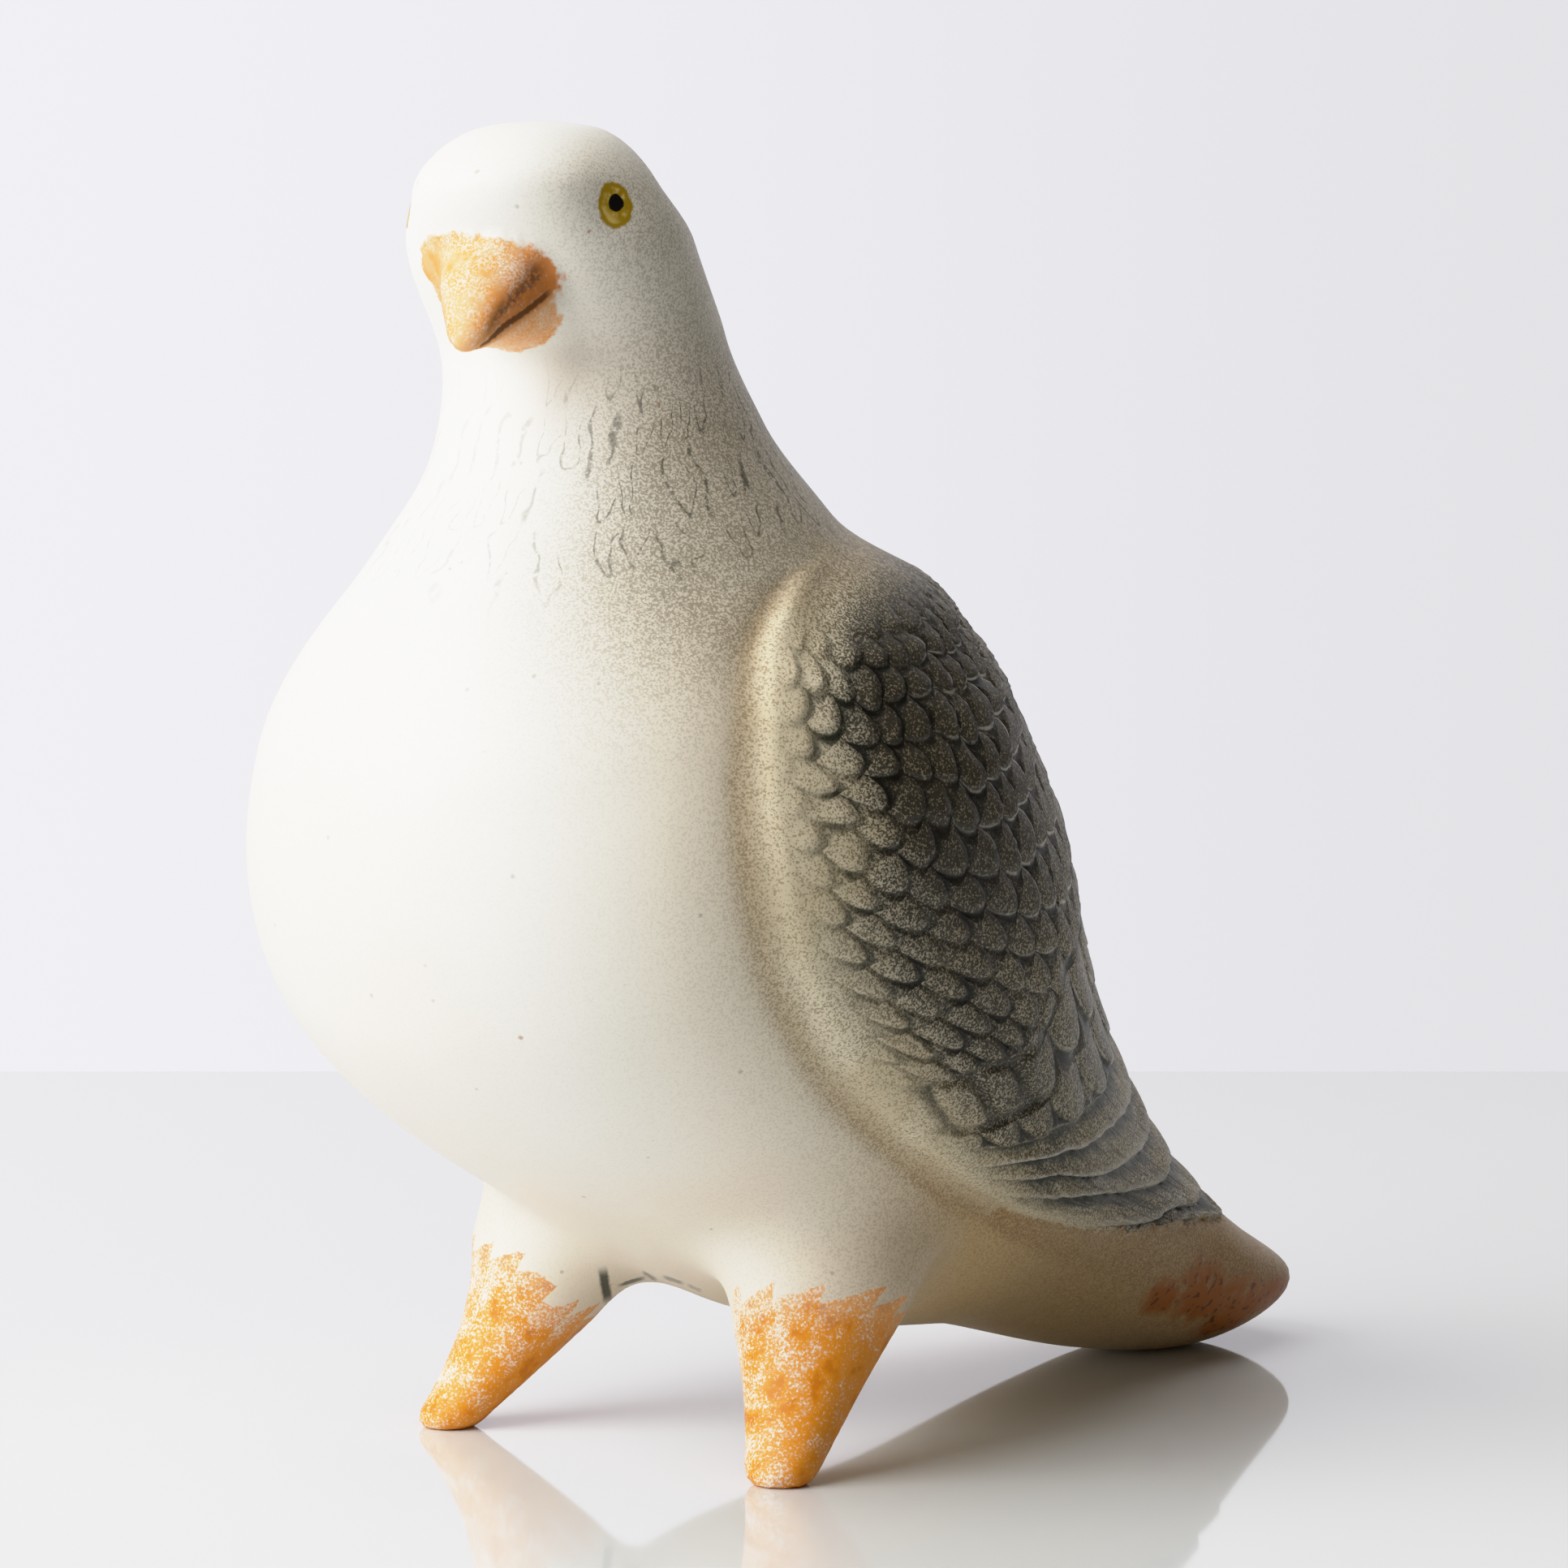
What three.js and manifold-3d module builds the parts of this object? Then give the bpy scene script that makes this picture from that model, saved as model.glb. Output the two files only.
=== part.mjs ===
// Ceramic dove figurine, standing on two conical legs and the underside of its tail.
// Millimetres, +Z up. The bird looks along -Y, its left side is +X, and its head turns to its left.
// Breast, head, beak, wings, tail and legs are one fired piece, so the part is one closed solid.
import * as THREE from 'three';
import { mergeVertices } from 'three/addons/utils/BufferGeometryUtils.js';
import Module from 'manifold-3d';

// Body sections from the crown to the tip of the tail. `along` runs from 0 to 1 down the body,
// y and z are the section's centre, `lean` is the section's tilt from level in degrees, and
// side, front and back are its half width and its two depths.
const BODY_SECTIONS = [
  { name: 'crown', along: 0, y: -21, z: 270.5, lean: 0, side: 0.5, front: 0.5, back: 0.5 },
  { name: 'scalp', along: 0.02, y: -21, z: 269, lean: 2, side: 12.5, front: 12.5, back: 9 },
  { name: 'forehead', along: 0.06, y: -22, z: 258.5, lean: 3, side: 24.5, front: 25, back: 20 },
  { name: 'face', along: 0.11, y: -16.5, z: 245.5, lean: 5, side: 29, front: 26, back: 29 },
  { name: 'throat', along: 0.17, y: -6, z: 226.5, lean: 7, side: 29.5, front: 23, back: 31.5 },
  { name: 'neck', along: 0.24, y: -4.5, z: 207, lean: 8, side: 34.5, front: 30.5, back: 36 },
  { name: 'collar', along: 0.32, y: -4.5, z: 186.5, lean: 9, side: 47.5, front: 46, back: 48.5 },
  { name: 'shoulder', along: 0.42, y: -1.5, z: 159.5, lean: 17, side: 70.5, front: 73.5, back: 71.5 },
  { name: 'breast', along: 0.53, y: 10, z: 130, lean: 27, side: 80, front: 83.5, back: 77 },
  { name: 'belly', along: 0.64, y: 39.5, z: 95, lean: 48, side: 75.5, front: 65, back: 75 },
  { name: 'flank', along: 0.74, y: 74.5, z: 63, lean: 59, side: 62, front: 48, back: 61.5 },
  { name: 'rump', along: 0.83, y: 114.5, z: 43.5, lean: 72, side: 45, front: 31.5, back: 43 },
  { name: 'tail root', along: 0.9, y: 152, z: 28.5, lean: 81, side: 34, front: 26, back: 24.5 },
  { name: 'tail', along: 0.955, y: 184, z: 17.5, lean: 85, side: 28, front: 17.8, back: 13.5 },
  { name: 'tail end', along: 0.985, y: 203.5, z: 14.5, lean: 88, side: 19, front: 8, back: 6.5 },
  { name: 'tail tip', along: 1, y: 208, z: 14.5, lean: 90, side: 0.5, front: 0.5, back: 0.5 },
];

// The head turns about an upright axis at HEAD_AXIS_Y, fading out down the neck.
const HEAD_TURN = THREE.MathUtils.degToRad(17);
const HEAD_AXIS_Y = -20;
const NECK_FIXED_Z = 195;
const NECK_TURNED_Z = 240;

// Front edge of the wing: the angle round the body, from the breast line, where the wing begins.
const WING_EDGE = [
  { along: 0.333, angle: 108 },
  { along: 0.341, angle: 91 },
  { along: 0.353, angle: 83 },
  { along: 0.376, angle: 74 },
  { along: 0.42, angle: 68 },
  { along: 0.486, angle: 63 },
  { along: 0.559, angle: 60 },
  { along: 0.62, angle: 57.5 },
  { along: 0.687, angle: 61 },
  { along: 0.714, angle: 64 },
  { along: 1, angle: 72 },
];
// The right wing begins a little further round the body than the left.
const RIGHT_WING_SET_BACK = 9;
const WING_TOP = 0.335;
const SCALES_END = 0.632;
const WING_END = 0.714;
// Rows of the wing slope towards the tail as they climb to the back. The slope grows down the wing
// to `end`, and a row has climbed fully at the fraction `reach` of its way to the back.
const ROW_SLOPE = { end: 0.21, growth: 0.8, reach: 0.55 };

// Relief of the wing's front lip, which crests at a share of its width behind a shallow valley.
const WING_LIP = { valley: 1, height: 1.5, width: 5.5, crest: 0.4 };
// Arc of half a ring over its chord, for the lip's width on the curved flank.
const ARC_OVER_CHORD = 1.25;
// Height of a scale at its tip, between two tips, at its root and under the tips of the row above.
const SCALE_RELIEF = { tip: 0.6, gap: -0.6, root: -0.4, shadow: -1.3 };
// Rows over which the lip and the scales rise out of the smooth shoulder, and the fractions of a
// row over which the relief rises behind the lip.
const SHOULDER_FADE = { lip: [-1, 5], scales: [2, 9] };
const LIP_FADE = { scales: [0.02, 0.14], tiers: [0, 0.2] };
// A tier of long feathers: its crest and foot heights, and where they lie down its length.
const TIER = { crest: 1, foot: -0.5, crestAt: 0.85, footAt: 0.12 };

// Rings of each stretch and their columns. `crowding` is the power that spaces the rings.
const HEAD = { rows: 17, crowding: 1.15, endGap: 0.01, columns: 15 };
const SCALES = { rows: 34, crowding: 0.92, columns: 36 };
const TIERS = { rows: 5, columns: 22 };
const TAIL = { rows: 10, crowding: 1.5, endGap: 0.4, columns: 12 };
const BREAST_COLUMNS = 12;

// Shallow hollow round each eye.
const EYE = { along: 0.078, angle: 60, hollowDepth: 1.2, hollowRadius: 10, falloff: 2 };

// Leg sections from the flat sole up into the belly.
const LEG_SECTIONS = [
  { z: 0, x: 46.5, y: -1, radius: 5.2 },
  { z: 1.4, x: 46.3, y: -0.5, radius: 6.8 },
  { z: 8, x: 44, y: 5, radius: 9 },
  { z: 18, x: 40.5, y: 13, radius: 12.4 },
  { z: 30, x: 37, y: 21, radius: 17.5 },
  { z: 42, x: 34.5, y: 27.5, radius: 23 },
  { z: 54, x: 32, y: 33, radius: 25 },
];
const LEG_FACETS = 18;

// Beak sections from inside the face to the drooping tip, in the head's own unturned frame.
const BEAK_SECTIONS = [
  { name: 'buried root', y: -29, z: 241, side: 11.5, up: 8, down: 13 },
  { name: 'base', y: -38, z: 238.5, side: 12.3, up: 10, down: 15 },
  { name: 'bridge', y: -44, z: 234.5, side: 10.2, up: 8.6, down: 11 },
  { name: 'middle', y: -48.5, z: 230, side: 7.3, up: 6.3, down: 5.8 },
  { name: 'fore', y: -51.5, z: 227, side: 4.8, up: 4.2, down: 3.6 },
  { name: 'nose', y: -53.2, z: 225.2, side: 2.7, up: 2.3, down: 2.1 },
  { name: 'tip', y: -53.9, z: 224.4, side: 0.5, up: 0.5, down: 0.5 },
];
const BEAK_FACETS = 18;
const BEAK_DROOP = THREE.MathUtils.degToRad(36);

// The underside of the tail is worn flat where it meets this level.
const GROUND_Z = 0;

// Steps along and round the body, in degrees, from which its normal is taken.
const NORMAL_STEP = { along: 0.002, angle: 1 };

// Monotone cubic through the knots, flat beyond both ends.
function smoothCurve(knots, values) {
  const count = knots.length;
  const slopes = values.slice(1).map((v, i) => (v - values[i]) / (knots[i + 1] - knots[i]));
  const tangents = values.map((_, i) => {
    if (i === 0) return slopes[0];
    if (i === count - 1) return slopes[count - 2];
    if (slopes[i - 1] * slopes[i] <= 0) return 0;
    const before = knots[i] - knots[i - 1];
    const after = knots[i + 1] - knots[i];
    const weightBefore = 2 * after + before;
    const weightAfter = after + 2 * before;
    return (weightBefore + weightAfter) / (weightBefore / slopes[i - 1] + weightAfter / slopes[i]);
  });
  return (x) => {
    if (x <= knots[0]) return values[0];
    if (x >= knots[count - 1]) return values[count - 1];
    const i = knots.findIndex((knot) => knot > x) - 1;
    const span = knots[i + 1] - knots[i];
    const s = (x - knots[i]) / span;
    const rise = (1 + 2 * s) * (1 - s) ** 2 * values[i] + s * s * (3 - 2 * s) * values[i + 1];
    return rise + s * (1 - s) ** 2 * span * tangents[i] + s * s * (s - 1) * span * tangents[i + 1];
  };
}

function smoothstep(low, high, x) {
  return THREE.MathUtils.smoothstep(x, low, high);
}

const sectionAlongs = BODY_SECTIONS.map((section) => section.along);
const centreY = smoothCurve(sectionAlongs, BODY_SECTIONS.map((section) => section.y));
const centreZ = smoothCurve(sectionAlongs, BODY_SECTIONS.map((section) => section.z));
const leanDegrees = smoothCurve(sectionAlongs, BODY_SECTIONS.map((section) => section.lean));
// Radii are blended by their squares, which rounds the crown and the tip of the tail.
const squaredRadius = (key) =>
  smoothCurve(sectionAlongs, BODY_SECTIONS.map((section) => section[key] ** 2));
const sideSquared = squaredRadius('side');
const frontSquared = squaredRadius('front');
const backSquared = squaredRadius('back');
const wingEdgeAngle = smoothCurve(
  WING_EDGE.map((knot) => knot.along),
  WING_EDGE.map((knot) => knot.angle),
);

// Point of the plain body. The angle is in degrees: 0 on the breast line, 90 on the bird's left side.
function bodyPoint(along, angle) {
  const turn = THREE.MathUtils.degToRad(angle);
  const lean = THREE.MathUtils.degToRad(leanDegrees(along));
  const depth = Math.sqrt(Math.cos(turn) > 0 ? frontSquared(along) : backSquared(along));
  const forward = depth * Math.cos(turn);
  return new THREE.Vector3(
    Math.sqrt(sideSquared(along)) * Math.sin(turn),
    centreY(along) - forward * Math.cos(lean),
    centreZ(along) - forward * Math.sin(lean),
  );
}

// Outward normal of the plain body, from two short steps along and round it.
function bodyNormal(along, angle) {
  const below = bodyPoint(Math.min(along + NORMAL_STEP.along, 1), angle);
  const above = bodyPoint(Math.max(along - NORMAL_STEP.along, 0), angle);
  const down = below.sub(above);
  const round = bodyPoint(along, angle + NORMAL_STEP.angle).sub(bodyPoint(along, angle - NORMAL_STEP.angle));
  return round.cross(down).negate().normalize();
}

// Turns a point of the head or neck to the bird's left.
function turnHead(point, turn = HEAD_TURN * smoothstep(NECK_FIXED_Z, NECK_TURNED_Z, point.z)) {
  const y = point.y - HEAD_AXIS_Y;
  return new THREE.Vector3(
    point.x * Math.cos(turn) - y * Math.sin(turn),
    HEAD_AXIS_Y + point.x * Math.sin(turn) + y * Math.cos(turn),
    point.z,
  );
}

// How far a wing row has slid towards the tail at the back, for a row that starts at `row`.
function rowSlope(row) {
  if (row < WING_END) return ROW_SLOPE.end * smoothstep(WING_TOP, WING_END, row) ** ROW_SLOPE.growth;
  return (ROW_SLOPE.end * (1 - row)) / (1 - WING_END);
}

// Position down the body of a row at a fraction of the way from the wing's front edge to the back.
function rowAlong(row, fraction) {
  const climb = Math.sin(Math.min(fraction / ROW_SLOPE.reach, 1) * Math.PI * 0.5);
  return Math.min(row + rowSlope(row) * climb, 1);
}

// Columns of one wing's side of a ring, from its front edge to the middle of the back.
function wingColumns(row, setBack, count, reliefAt) {
  const edge = wingEdgeAngle(row) + setBack;
  const girth = bodyPoint(row, edge).distanceTo(bodyPoint(row, 180)) * ARC_OVER_CHORD;
  const behindLip = WING_LIP.width / girth;
  const columns = [
    { fraction: 0, relief: -WING_LIP.valley },
    { fraction: behindLip * WING_LIP.crest, relief: WING_LIP.height },
    { fraction: behindLip, relief: 0 },
  ];
  for (let i = 1; i <= count; i += 1) {
    const fraction = behindLip + ((1 - behindLip) * i) / count;
    columns.push({ fraction, relief: reliefAt(i, fraction) });
  }
  return columns.map(({ fraction, relief }) => ({
    angle: edge + (180 - edge) * fraction,
    along: rowAlong(row, fraction),
    relief,
  }));
}

// A whole ring: the breast from wing to wing, then both wing sides meeting at the back.
function wingRing(row, count, fade, reliefAt) {
  const faded = (setBack) =>
    wingColumns(row, setBack, count, reliefAt).map((column) => ({ ...column, relief: column.relief * fade }));
  const left = faded(0);
  const right = faded(RIGHT_WING_SET_BACK).map((column) => ({ ...column, angle: -column.angle }));
  const start = right[0].angle;
  const sweep = left[0].angle - start;
  const breast = [];
  for (let i = 1; i < BREAST_COLUMNS; i += 1) {
    breast.push({ angle: start + (sweep * i) / BREAST_COLUMNS, along: row, relief: 0 });
  }
  return [...right.slice(0, -1).reverse(), ...breast, ...left];
}

function plainRing(along, count) {
  return Array.from({ length: 2 * count }, (_, i) => {
    const angle = -180 + (180 * (i + 1)) / count;
    return { angle, along, relief: 0 };
  });
}

// Relief of the overlapping scales: each is two rows long and two columns wide, in staggered rows.
function scaleRelief(row, column) {
  const inCentre = (column + Math.floor(row / 2)) % 2 === 0;
  if (row % 2 === 1) return inCentre ? SCALE_RELIEF.tip : SCALE_RELIEF.gap;
  return inCentre ? SCALE_RELIEF.root : SCALE_RELIEF.shadow;
}

function headRings() {
  const end = WING_TOP - HEAD.endGap;
  return Array.from({ length: HEAD.rows }, (_, i) =>
    plainRing(end * ((i + 1) / HEAD.rows) ** HEAD.crowding, HEAD.columns));
}

function scaleRings() {
  return Array.from({ length: SCALES.rows }, (_, i) => {
    const row = WING_TOP + (SCALES_END - WING_TOP) * (i / SCALES.rows) ** SCALES.crowding;
    const lipFade = smoothstep(...SHOULDER_FADE.lip, i);
    const scaleFade = smoothstep(...SHOULDER_FADE.scales, i);
    const reliefAt = (column, fraction) =>
      scaleRelief(i, column) * scaleFade * smoothstep(...LIP_FADE.scales, fraction);
    return wingRing(row, SCALES.columns, lipFade, reliefAt);
  });
}

// Each tier of long feathers rises from its foot to a crest that overhangs the next.
function tierRings() {
  const pitch = (WING_END - SCALES_END) / TIERS.rows;
  const foot = (column, fraction) => TIER.foot * smoothstep(...LIP_FADE.tiers, fraction);
  const crest = (column, fraction) => TIER.crest * smoothstep(...LIP_FADE.tiers, fraction);
  return Array.from({ length: TIERS.rows }, (_, i) => {
    const top = SCALES_END + pitch * i;
    return [
      wingRing(top + pitch * TIER.footAt, TIERS.columns, 1, foot),
      wingRing(top + pitch * TIER.crestAt, TIERS.columns, 1, crest),
    ];
  }).flat();
}

function tailRings() {
  return Array.from({ length: TAIL.rows }, (_, i) => {
    const left = 1 - (i + 1) / (TAIL.rows + TAIL.endGap);
    return wingRing(1 - (1 - WING_END) * left ** TAIL.crowding, TAIL.columns, 0, () => 0);
  });
}

function bodyRings() {
  return [...headRings(), ...scaleRings(), ...tierRings(), ...tailRings()];
}

// Depth of the hollow round the eyes at a point of the unturned head.
function eyeHollow(point) {
  const left = bodyPoint(EYE.along, EYE.angle);
  const right = bodyPoint(EYE.along, -EYE.angle);
  const distance = Math.min(point.distanceTo(left), point.distanceTo(right));
  return EYE.hollowDepth * Math.exp(-EYE.falloff * (distance / EYE.hollowRadius) ** 2);
}

function surfacePoint({ angle, along, relief }) {
  const point = bodyPoint(along, angle);
  const height = relief - eyeHollow(point);
  point.addScaledVector(bodyNormal(along, angle), height);
  const turned = turnHead(point);
  turned.z = Math.max(turned.z, GROUND_Z);
  return turned;
}

// Joins two closed rings: point to point where they match, else walking both by angle.
function stitchRings(triangles, upper, lower) {
  if (upper.length === lower.length) {
    for (let i = 0; i < upper.length; i += 1) {
      const next = (i + 1) % upper.length;
      triangles.push(upper.start + i, lower.start + i, upper.start + next);
      triangles.push(upper.start + next, lower.start + i, lower.start + next);
    }
    return;
  }
  let i = 0;
  let j = 0;
  while (i < upper.length || j < lower.length) {
    const upperNext = i < upper.length ? upper.angles[i + 1] ?? 180 + upper.span : Infinity;
    const lowerNext = j < lower.length ? lower.angles[j + 1] ?? 180 + lower.span : Infinity;
    const a = upper.start + (i % upper.length);
    const b = lower.start + (j % lower.length);
    if (upperNext <= lowerNext) {
      triangles.push(a, b, upper.start + ((i + 1) % upper.length));
      i += 1;
    } else {
      triangles.push(a, b, lower.start + ((j + 1) % lower.length));
      j += 1;
    }
  }
}

// Closed skin over a list of rings of points, with a cap at each end.
function skin(rings) {
  const positions = [];
  const triangles = [];
  const spans = rings.map((ring) => {
    const start = positions.length / 3;
    ring.forEach(({ point }) => positions.push(point.x, point.y, point.z));
    const angles = ring.map(({ angle }) => angle);
    return { start, length: ring.length, angles, span: angles[0] + 180 };
  });
  spans.slice(1).forEach((span, i) => stitchRings(triangles, spans[i], span));
  [rings[0], rings[rings.length - 1]].forEach((ring, end) => {
    const total = ring.reduce((sum, { point }) => sum.add(point), new THREE.Vector3());
    const centre = total.divideScalar(ring.length);
    const apex = positions.length / 3;
    positions.push(centre.x, centre.y, centre.z);
    const span = end === 0 ? spans[0] : spans[spans.length - 1];
    for (let k = 0; k < span.length; k += 1) {
      const a = span.start + k;
      const b = span.start + ((k + 1) % span.length);
      triangles.push(apex, ...(end === 0 ? [a, b] : [b, a]));
    }
  });
  const geometry = new THREE.BufferGeometry();
  geometry.setAttribute('position', new THREE.Float32BufferAttribute(positions, 3));
  geometry.setIndex(triangles);
  return geometry;
}

function bodyGeometry() {
  const placed = (column) => ({ angle: column.angle, point: surfacePoint(column) });
  return skin(bodyRings().map((ring) => ring.map(placed)));
}

function ringOf(facets, pointAt) {
  return Array.from({ length: facets }, (_, i) => {
    const angle = -180 + (360 * (i + 1)) / facets;
    return { angle, point: pointAt(THREE.MathUtils.degToRad(angle)) };
  });
}

// One conical leg, listed from its top down to the flat sole.
function legGeometry(side) {
  const rings = [...LEG_SECTIONS].reverse().map(({ z, x, y, radius }) =>
    ringOf(LEG_FACETS, (turn) =>
      new THREE.Vector3(side * x + radius * Math.sin(turn), y - radius * Math.cos(turn), z)));
  return skin(rings);
}

// The beak droops: each section is a rounded shield, higher above its centre line than below.
function beakGeometry() {
  const up = new THREE.Vector3(0, -Math.sin(BEAK_DROOP), Math.cos(BEAK_DROOP));
  const rings = BEAK_SECTIONS.map(({ y, z, side, up: rise, down }) =>
    ringOf(BEAK_FACETS, (turn) => {
      const lift = Math.cos(turn) > 0 ? rise : down;
      const point = new THREE.Vector3(side * Math.sin(turn), y, z).addScaledVector(up, lift * Math.cos(turn));
      return turnHead(point, HEAD_TURN);
    }));
  return skin(rings);
}

const wasm = await Module();
wasm.setup();

function toSolid(geometry) {
  const merged = mergeVertices(geometry);
  return new wasm.Manifold(new wasm.Mesh({
    numProp: 3,
    vertProperties: new Float32Array(merged.attributes.position.array),
    triVerts: new Uint32Array(merged.index.array),
  }));
}

function toGeometry(solid) {
  const mesh = solid.getMesh();
  const geometry = new THREE.BufferGeometry();
  geometry.setAttribute('position', new THREE.BufferAttribute(new Float32Array(mesh.vertProperties), 3));
  geometry.setIndex(new THREE.BufferAttribute(new Uint32Array(mesh.triVerts), 1));
  return geometry;
}

function doveGeometry() {
  const solids = [legGeometry(1), legGeometry(-1), beakGeometry()].map(toSolid);
  const dove = solids.reduce((sum, solid) => sum.add(solid), toSolid(bodyGeometry()));
  return toGeometry(dove);
}

// Moves the origin to the middle of the figure's bounding box, on the ground.
function standOnOrigin(geometry) {
  geometry.computeBoundingBox();
  const middle = geometry.boundingBox.getCenter(new THREE.Vector3());
  return geometry.translate(-middle.x, -middle.y, -geometry.boundingBox.min.z);
}

const glaze = new THREE.MeshStandardMaterial({ color: 0xe9e4d8, roughness: 0.45, metalness: 0 });
const dove = new THREE.Mesh(standOnOrigin(doveGeometry()), glaze);
dove.name = 'dove';
dove.geometry.computeVertexNormals();

const group = new THREE.Group();
group.add(dove);

export default group;
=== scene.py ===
"""A ceramic dove figurine: its dressed form, feather relief and glazes, on a pale studio floor."""
import logging
import math
from dataclasses import dataclass
from typing import Callable, Optional, Sequence, Union

import bpy
import numpy as np
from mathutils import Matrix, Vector
from mathutils.bvhtree import BVHTree
from mathutils.kdtree import KDTree


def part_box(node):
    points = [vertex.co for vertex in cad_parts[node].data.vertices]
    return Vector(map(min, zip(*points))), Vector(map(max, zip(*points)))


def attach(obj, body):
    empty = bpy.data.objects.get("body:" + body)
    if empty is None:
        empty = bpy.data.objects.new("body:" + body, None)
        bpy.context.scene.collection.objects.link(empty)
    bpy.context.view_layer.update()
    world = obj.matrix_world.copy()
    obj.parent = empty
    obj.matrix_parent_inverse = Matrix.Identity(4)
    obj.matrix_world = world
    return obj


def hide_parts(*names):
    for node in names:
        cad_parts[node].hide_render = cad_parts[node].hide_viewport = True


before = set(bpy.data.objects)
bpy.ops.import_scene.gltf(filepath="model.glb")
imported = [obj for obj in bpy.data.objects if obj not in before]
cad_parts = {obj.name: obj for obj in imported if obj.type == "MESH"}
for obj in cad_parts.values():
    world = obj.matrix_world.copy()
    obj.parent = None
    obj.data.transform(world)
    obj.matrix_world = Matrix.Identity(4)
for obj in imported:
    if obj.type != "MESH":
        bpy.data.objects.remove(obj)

log = logging.getLogger("dove")

Array = np.ndarray
Socket = bpy.types.NodeSocket
Piece = bpy.types.Object
Triple = tuple[float, float, float]
Tone = tuple[int, int, int]
Pairs = tuple[tuple[float, float], ...]
Table = tuple[tuple[float, ...], ...]
# Gives points for shares of a form's length and angles round it.
Placer = Callable[[Array, Array], Array]

MILLIMETRE = 0.001
# Place of the part's origin, in mm from between the soles.
ORIGIN = np.array([0, 67.68, 0])
# Length in mm of the body's line from crown to tail tip.
BODY_LENGTH = 416.0
# Length in mm round the back from a wing's front edge to the middle of the back.
WING_GIRTH = 150.0


class Curve:
    """A smooth curve that never overshoots its knots and stays level beyond them."""

    def __init__(self, knots: Sequence[float], values: Sequence[float]) -> None:
        """Works out the slope at each knot.

        Args:
            knots: Rising positions of the knots.
            values: The value at each knot.
        """
        self.knots = np.asarray(knots, float)
        self.values = np.asarray(values, float)
        self.spans = np.diff(self.knots)
        rises = np.diff(self.values) / self.spans
        self.slopes = np.zeros(len(self.values))
        self.slopes[0], self.slopes[-1] = rises[0], rises[-1]
        for i in range(1, len(self.values) - 1):
            if rises[i - 1] * rises[i] > 0:
                before = 2 * self.spans[i] + self.spans[i - 1]
                after = self.spans[i] + 2 * self.spans[i - 1]
                self.slopes[i] = (before + after) / (before / rises[i - 1] + after / rises[i])

    def __call__(self, position: Array) -> Array:
        """Reads the curve.

        Args:
            position: Where to read it.

        Returns:
            The values there.
        """
        x = np.clip(position, self.knots[0], self.knots[-1])
        i = np.clip(np.searchsorted(self.knots, x, side="right") - 1, 0, len(self.spans) - 1)
        span = self.spans[i]
        s = (x - self.knots[i]) / span
        bend = (1 + 2 * s) * (1 - s) ** 2 * self.values[i] + s * s * (3 - 2 * s) * self.values[i + 1]
        return bend + s * (1 - s) * span * ((1 - s) * self.slopes[i] - s * self.slopes[i + 1])


def ease(low: float, high: float, x: Array) -> Array:
    """Rises smoothly from 0 at low to 1 at high."""
    t = np.clip((x - low) / (high - low), 0, 1)
    return t * t * (3 - 2 * t)


def bump(x: Array, width: float) -> Array:
    """Gives a soft hill of height 1 at 0, which has sunk to a third at its width."""
    return np.exp(-((x / width) ** 2))


def placed(points: Array) -> Array:
    """Takes points from mm between the soles to metres from the part's origin."""
    return (points - ORIGIN) * MILLIMETRE


def read_vectors(items: bpy.types.bpy_prop_collection, name: str) -> Array:
    """Reads a vector of each item of a mesh.

    Args:
        items: The vertices or the normals.
        name: The vector's name.

    Returns:
        The vectors.
    """
    flat = np.empty(len(items) * 3, np.float32)
    items.foreach_get(name, flat)
    return flat.reshape(-1, 3).astype(float)


def read_points(piece: Piece) -> Array:
    """Reads the places of a piece's vertices, in mm with the origin between the soles."""
    return read_vectors(piece.data.vertices, "co") / MILLIMETRE + ORIGIN


def write_points(piece: Piece, points: Array) -> None:
    """Moves a piece's vertices to places in mm, with the origin between the soles."""
    piece.data.vertices.foreach_set("co", placed(points).astype(np.float32).ravel())
    piece.data.update()


def pick(*pieces: Piece) -> None:
    """Selects only the given pieces and makes the first one active."""
    bpy.ops.object.select_all(action="DESELECT")
    for piece in pieces:
        piece.select_set(True)
    bpy.context.view_layer.objects.active = pieces[0]


def face_outwards(piece: Piece) -> None:
    """Turns all faces of a closed piece outwards."""
    pick(piece)
    bpy.ops.object.mode_set(mode="EDIT")
    bpy.ops.mesh.select_all(action="SELECT")
    bpy.ops.mesh.normals_make_consistent(inside=False)
    bpy.ops.object.mode_set(mode="OBJECT")


def apply_modifier(piece: Piece, kind: str, **settings: object) -> None:
    """Adds a modifier to a piece and applies it.

    Args:
        piece: The mesh object.
        kind: The modifier's type.
        **settings: Values of the modifier's properties.
    """
    modifier = piece.modifiers.new(kind.title(), kind)
    for name, value in settings.items():
        setattr(modifier, name, value)
    pick(piece)
    bpy.ops.object.modifier_apply(modifier=modifier.name)


def shaped_ball(name: str, segments: int, rings: int, place: Placer) -> Piece:
    """Shapes a ball into a closed form.

    Args:
        name: The new object's name.
        segments: Points round each ring.
        rings: Rings from end to end, closer towards both ends.
        place: Gives the points in mm for a share of the length and an angle in degrees.

    Returns:
        The new object.
    """
    bpy.ops.object.select_all(action="DESELECT")
    bpy.ops.mesh.primitive_uv_sphere_add(segments=segments, ring_count=rings, radius=1)
    ball = bpy.context.object
    ball.name = name
    x, y, z = read_vectors(ball.data.vertices, "co").T
    along = (1 - z) / 2
    pole = np.hypot(x, y) < 1e-4
    angle = np.degrees(np.arctan2(x, -y))
    points = place(along, angle)
    points[pole] = (place(along[pole], angle[pole]) + place(along[pole], angle[pole] + 180)) / 2
    write_points(ball, points)
    return ball


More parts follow.
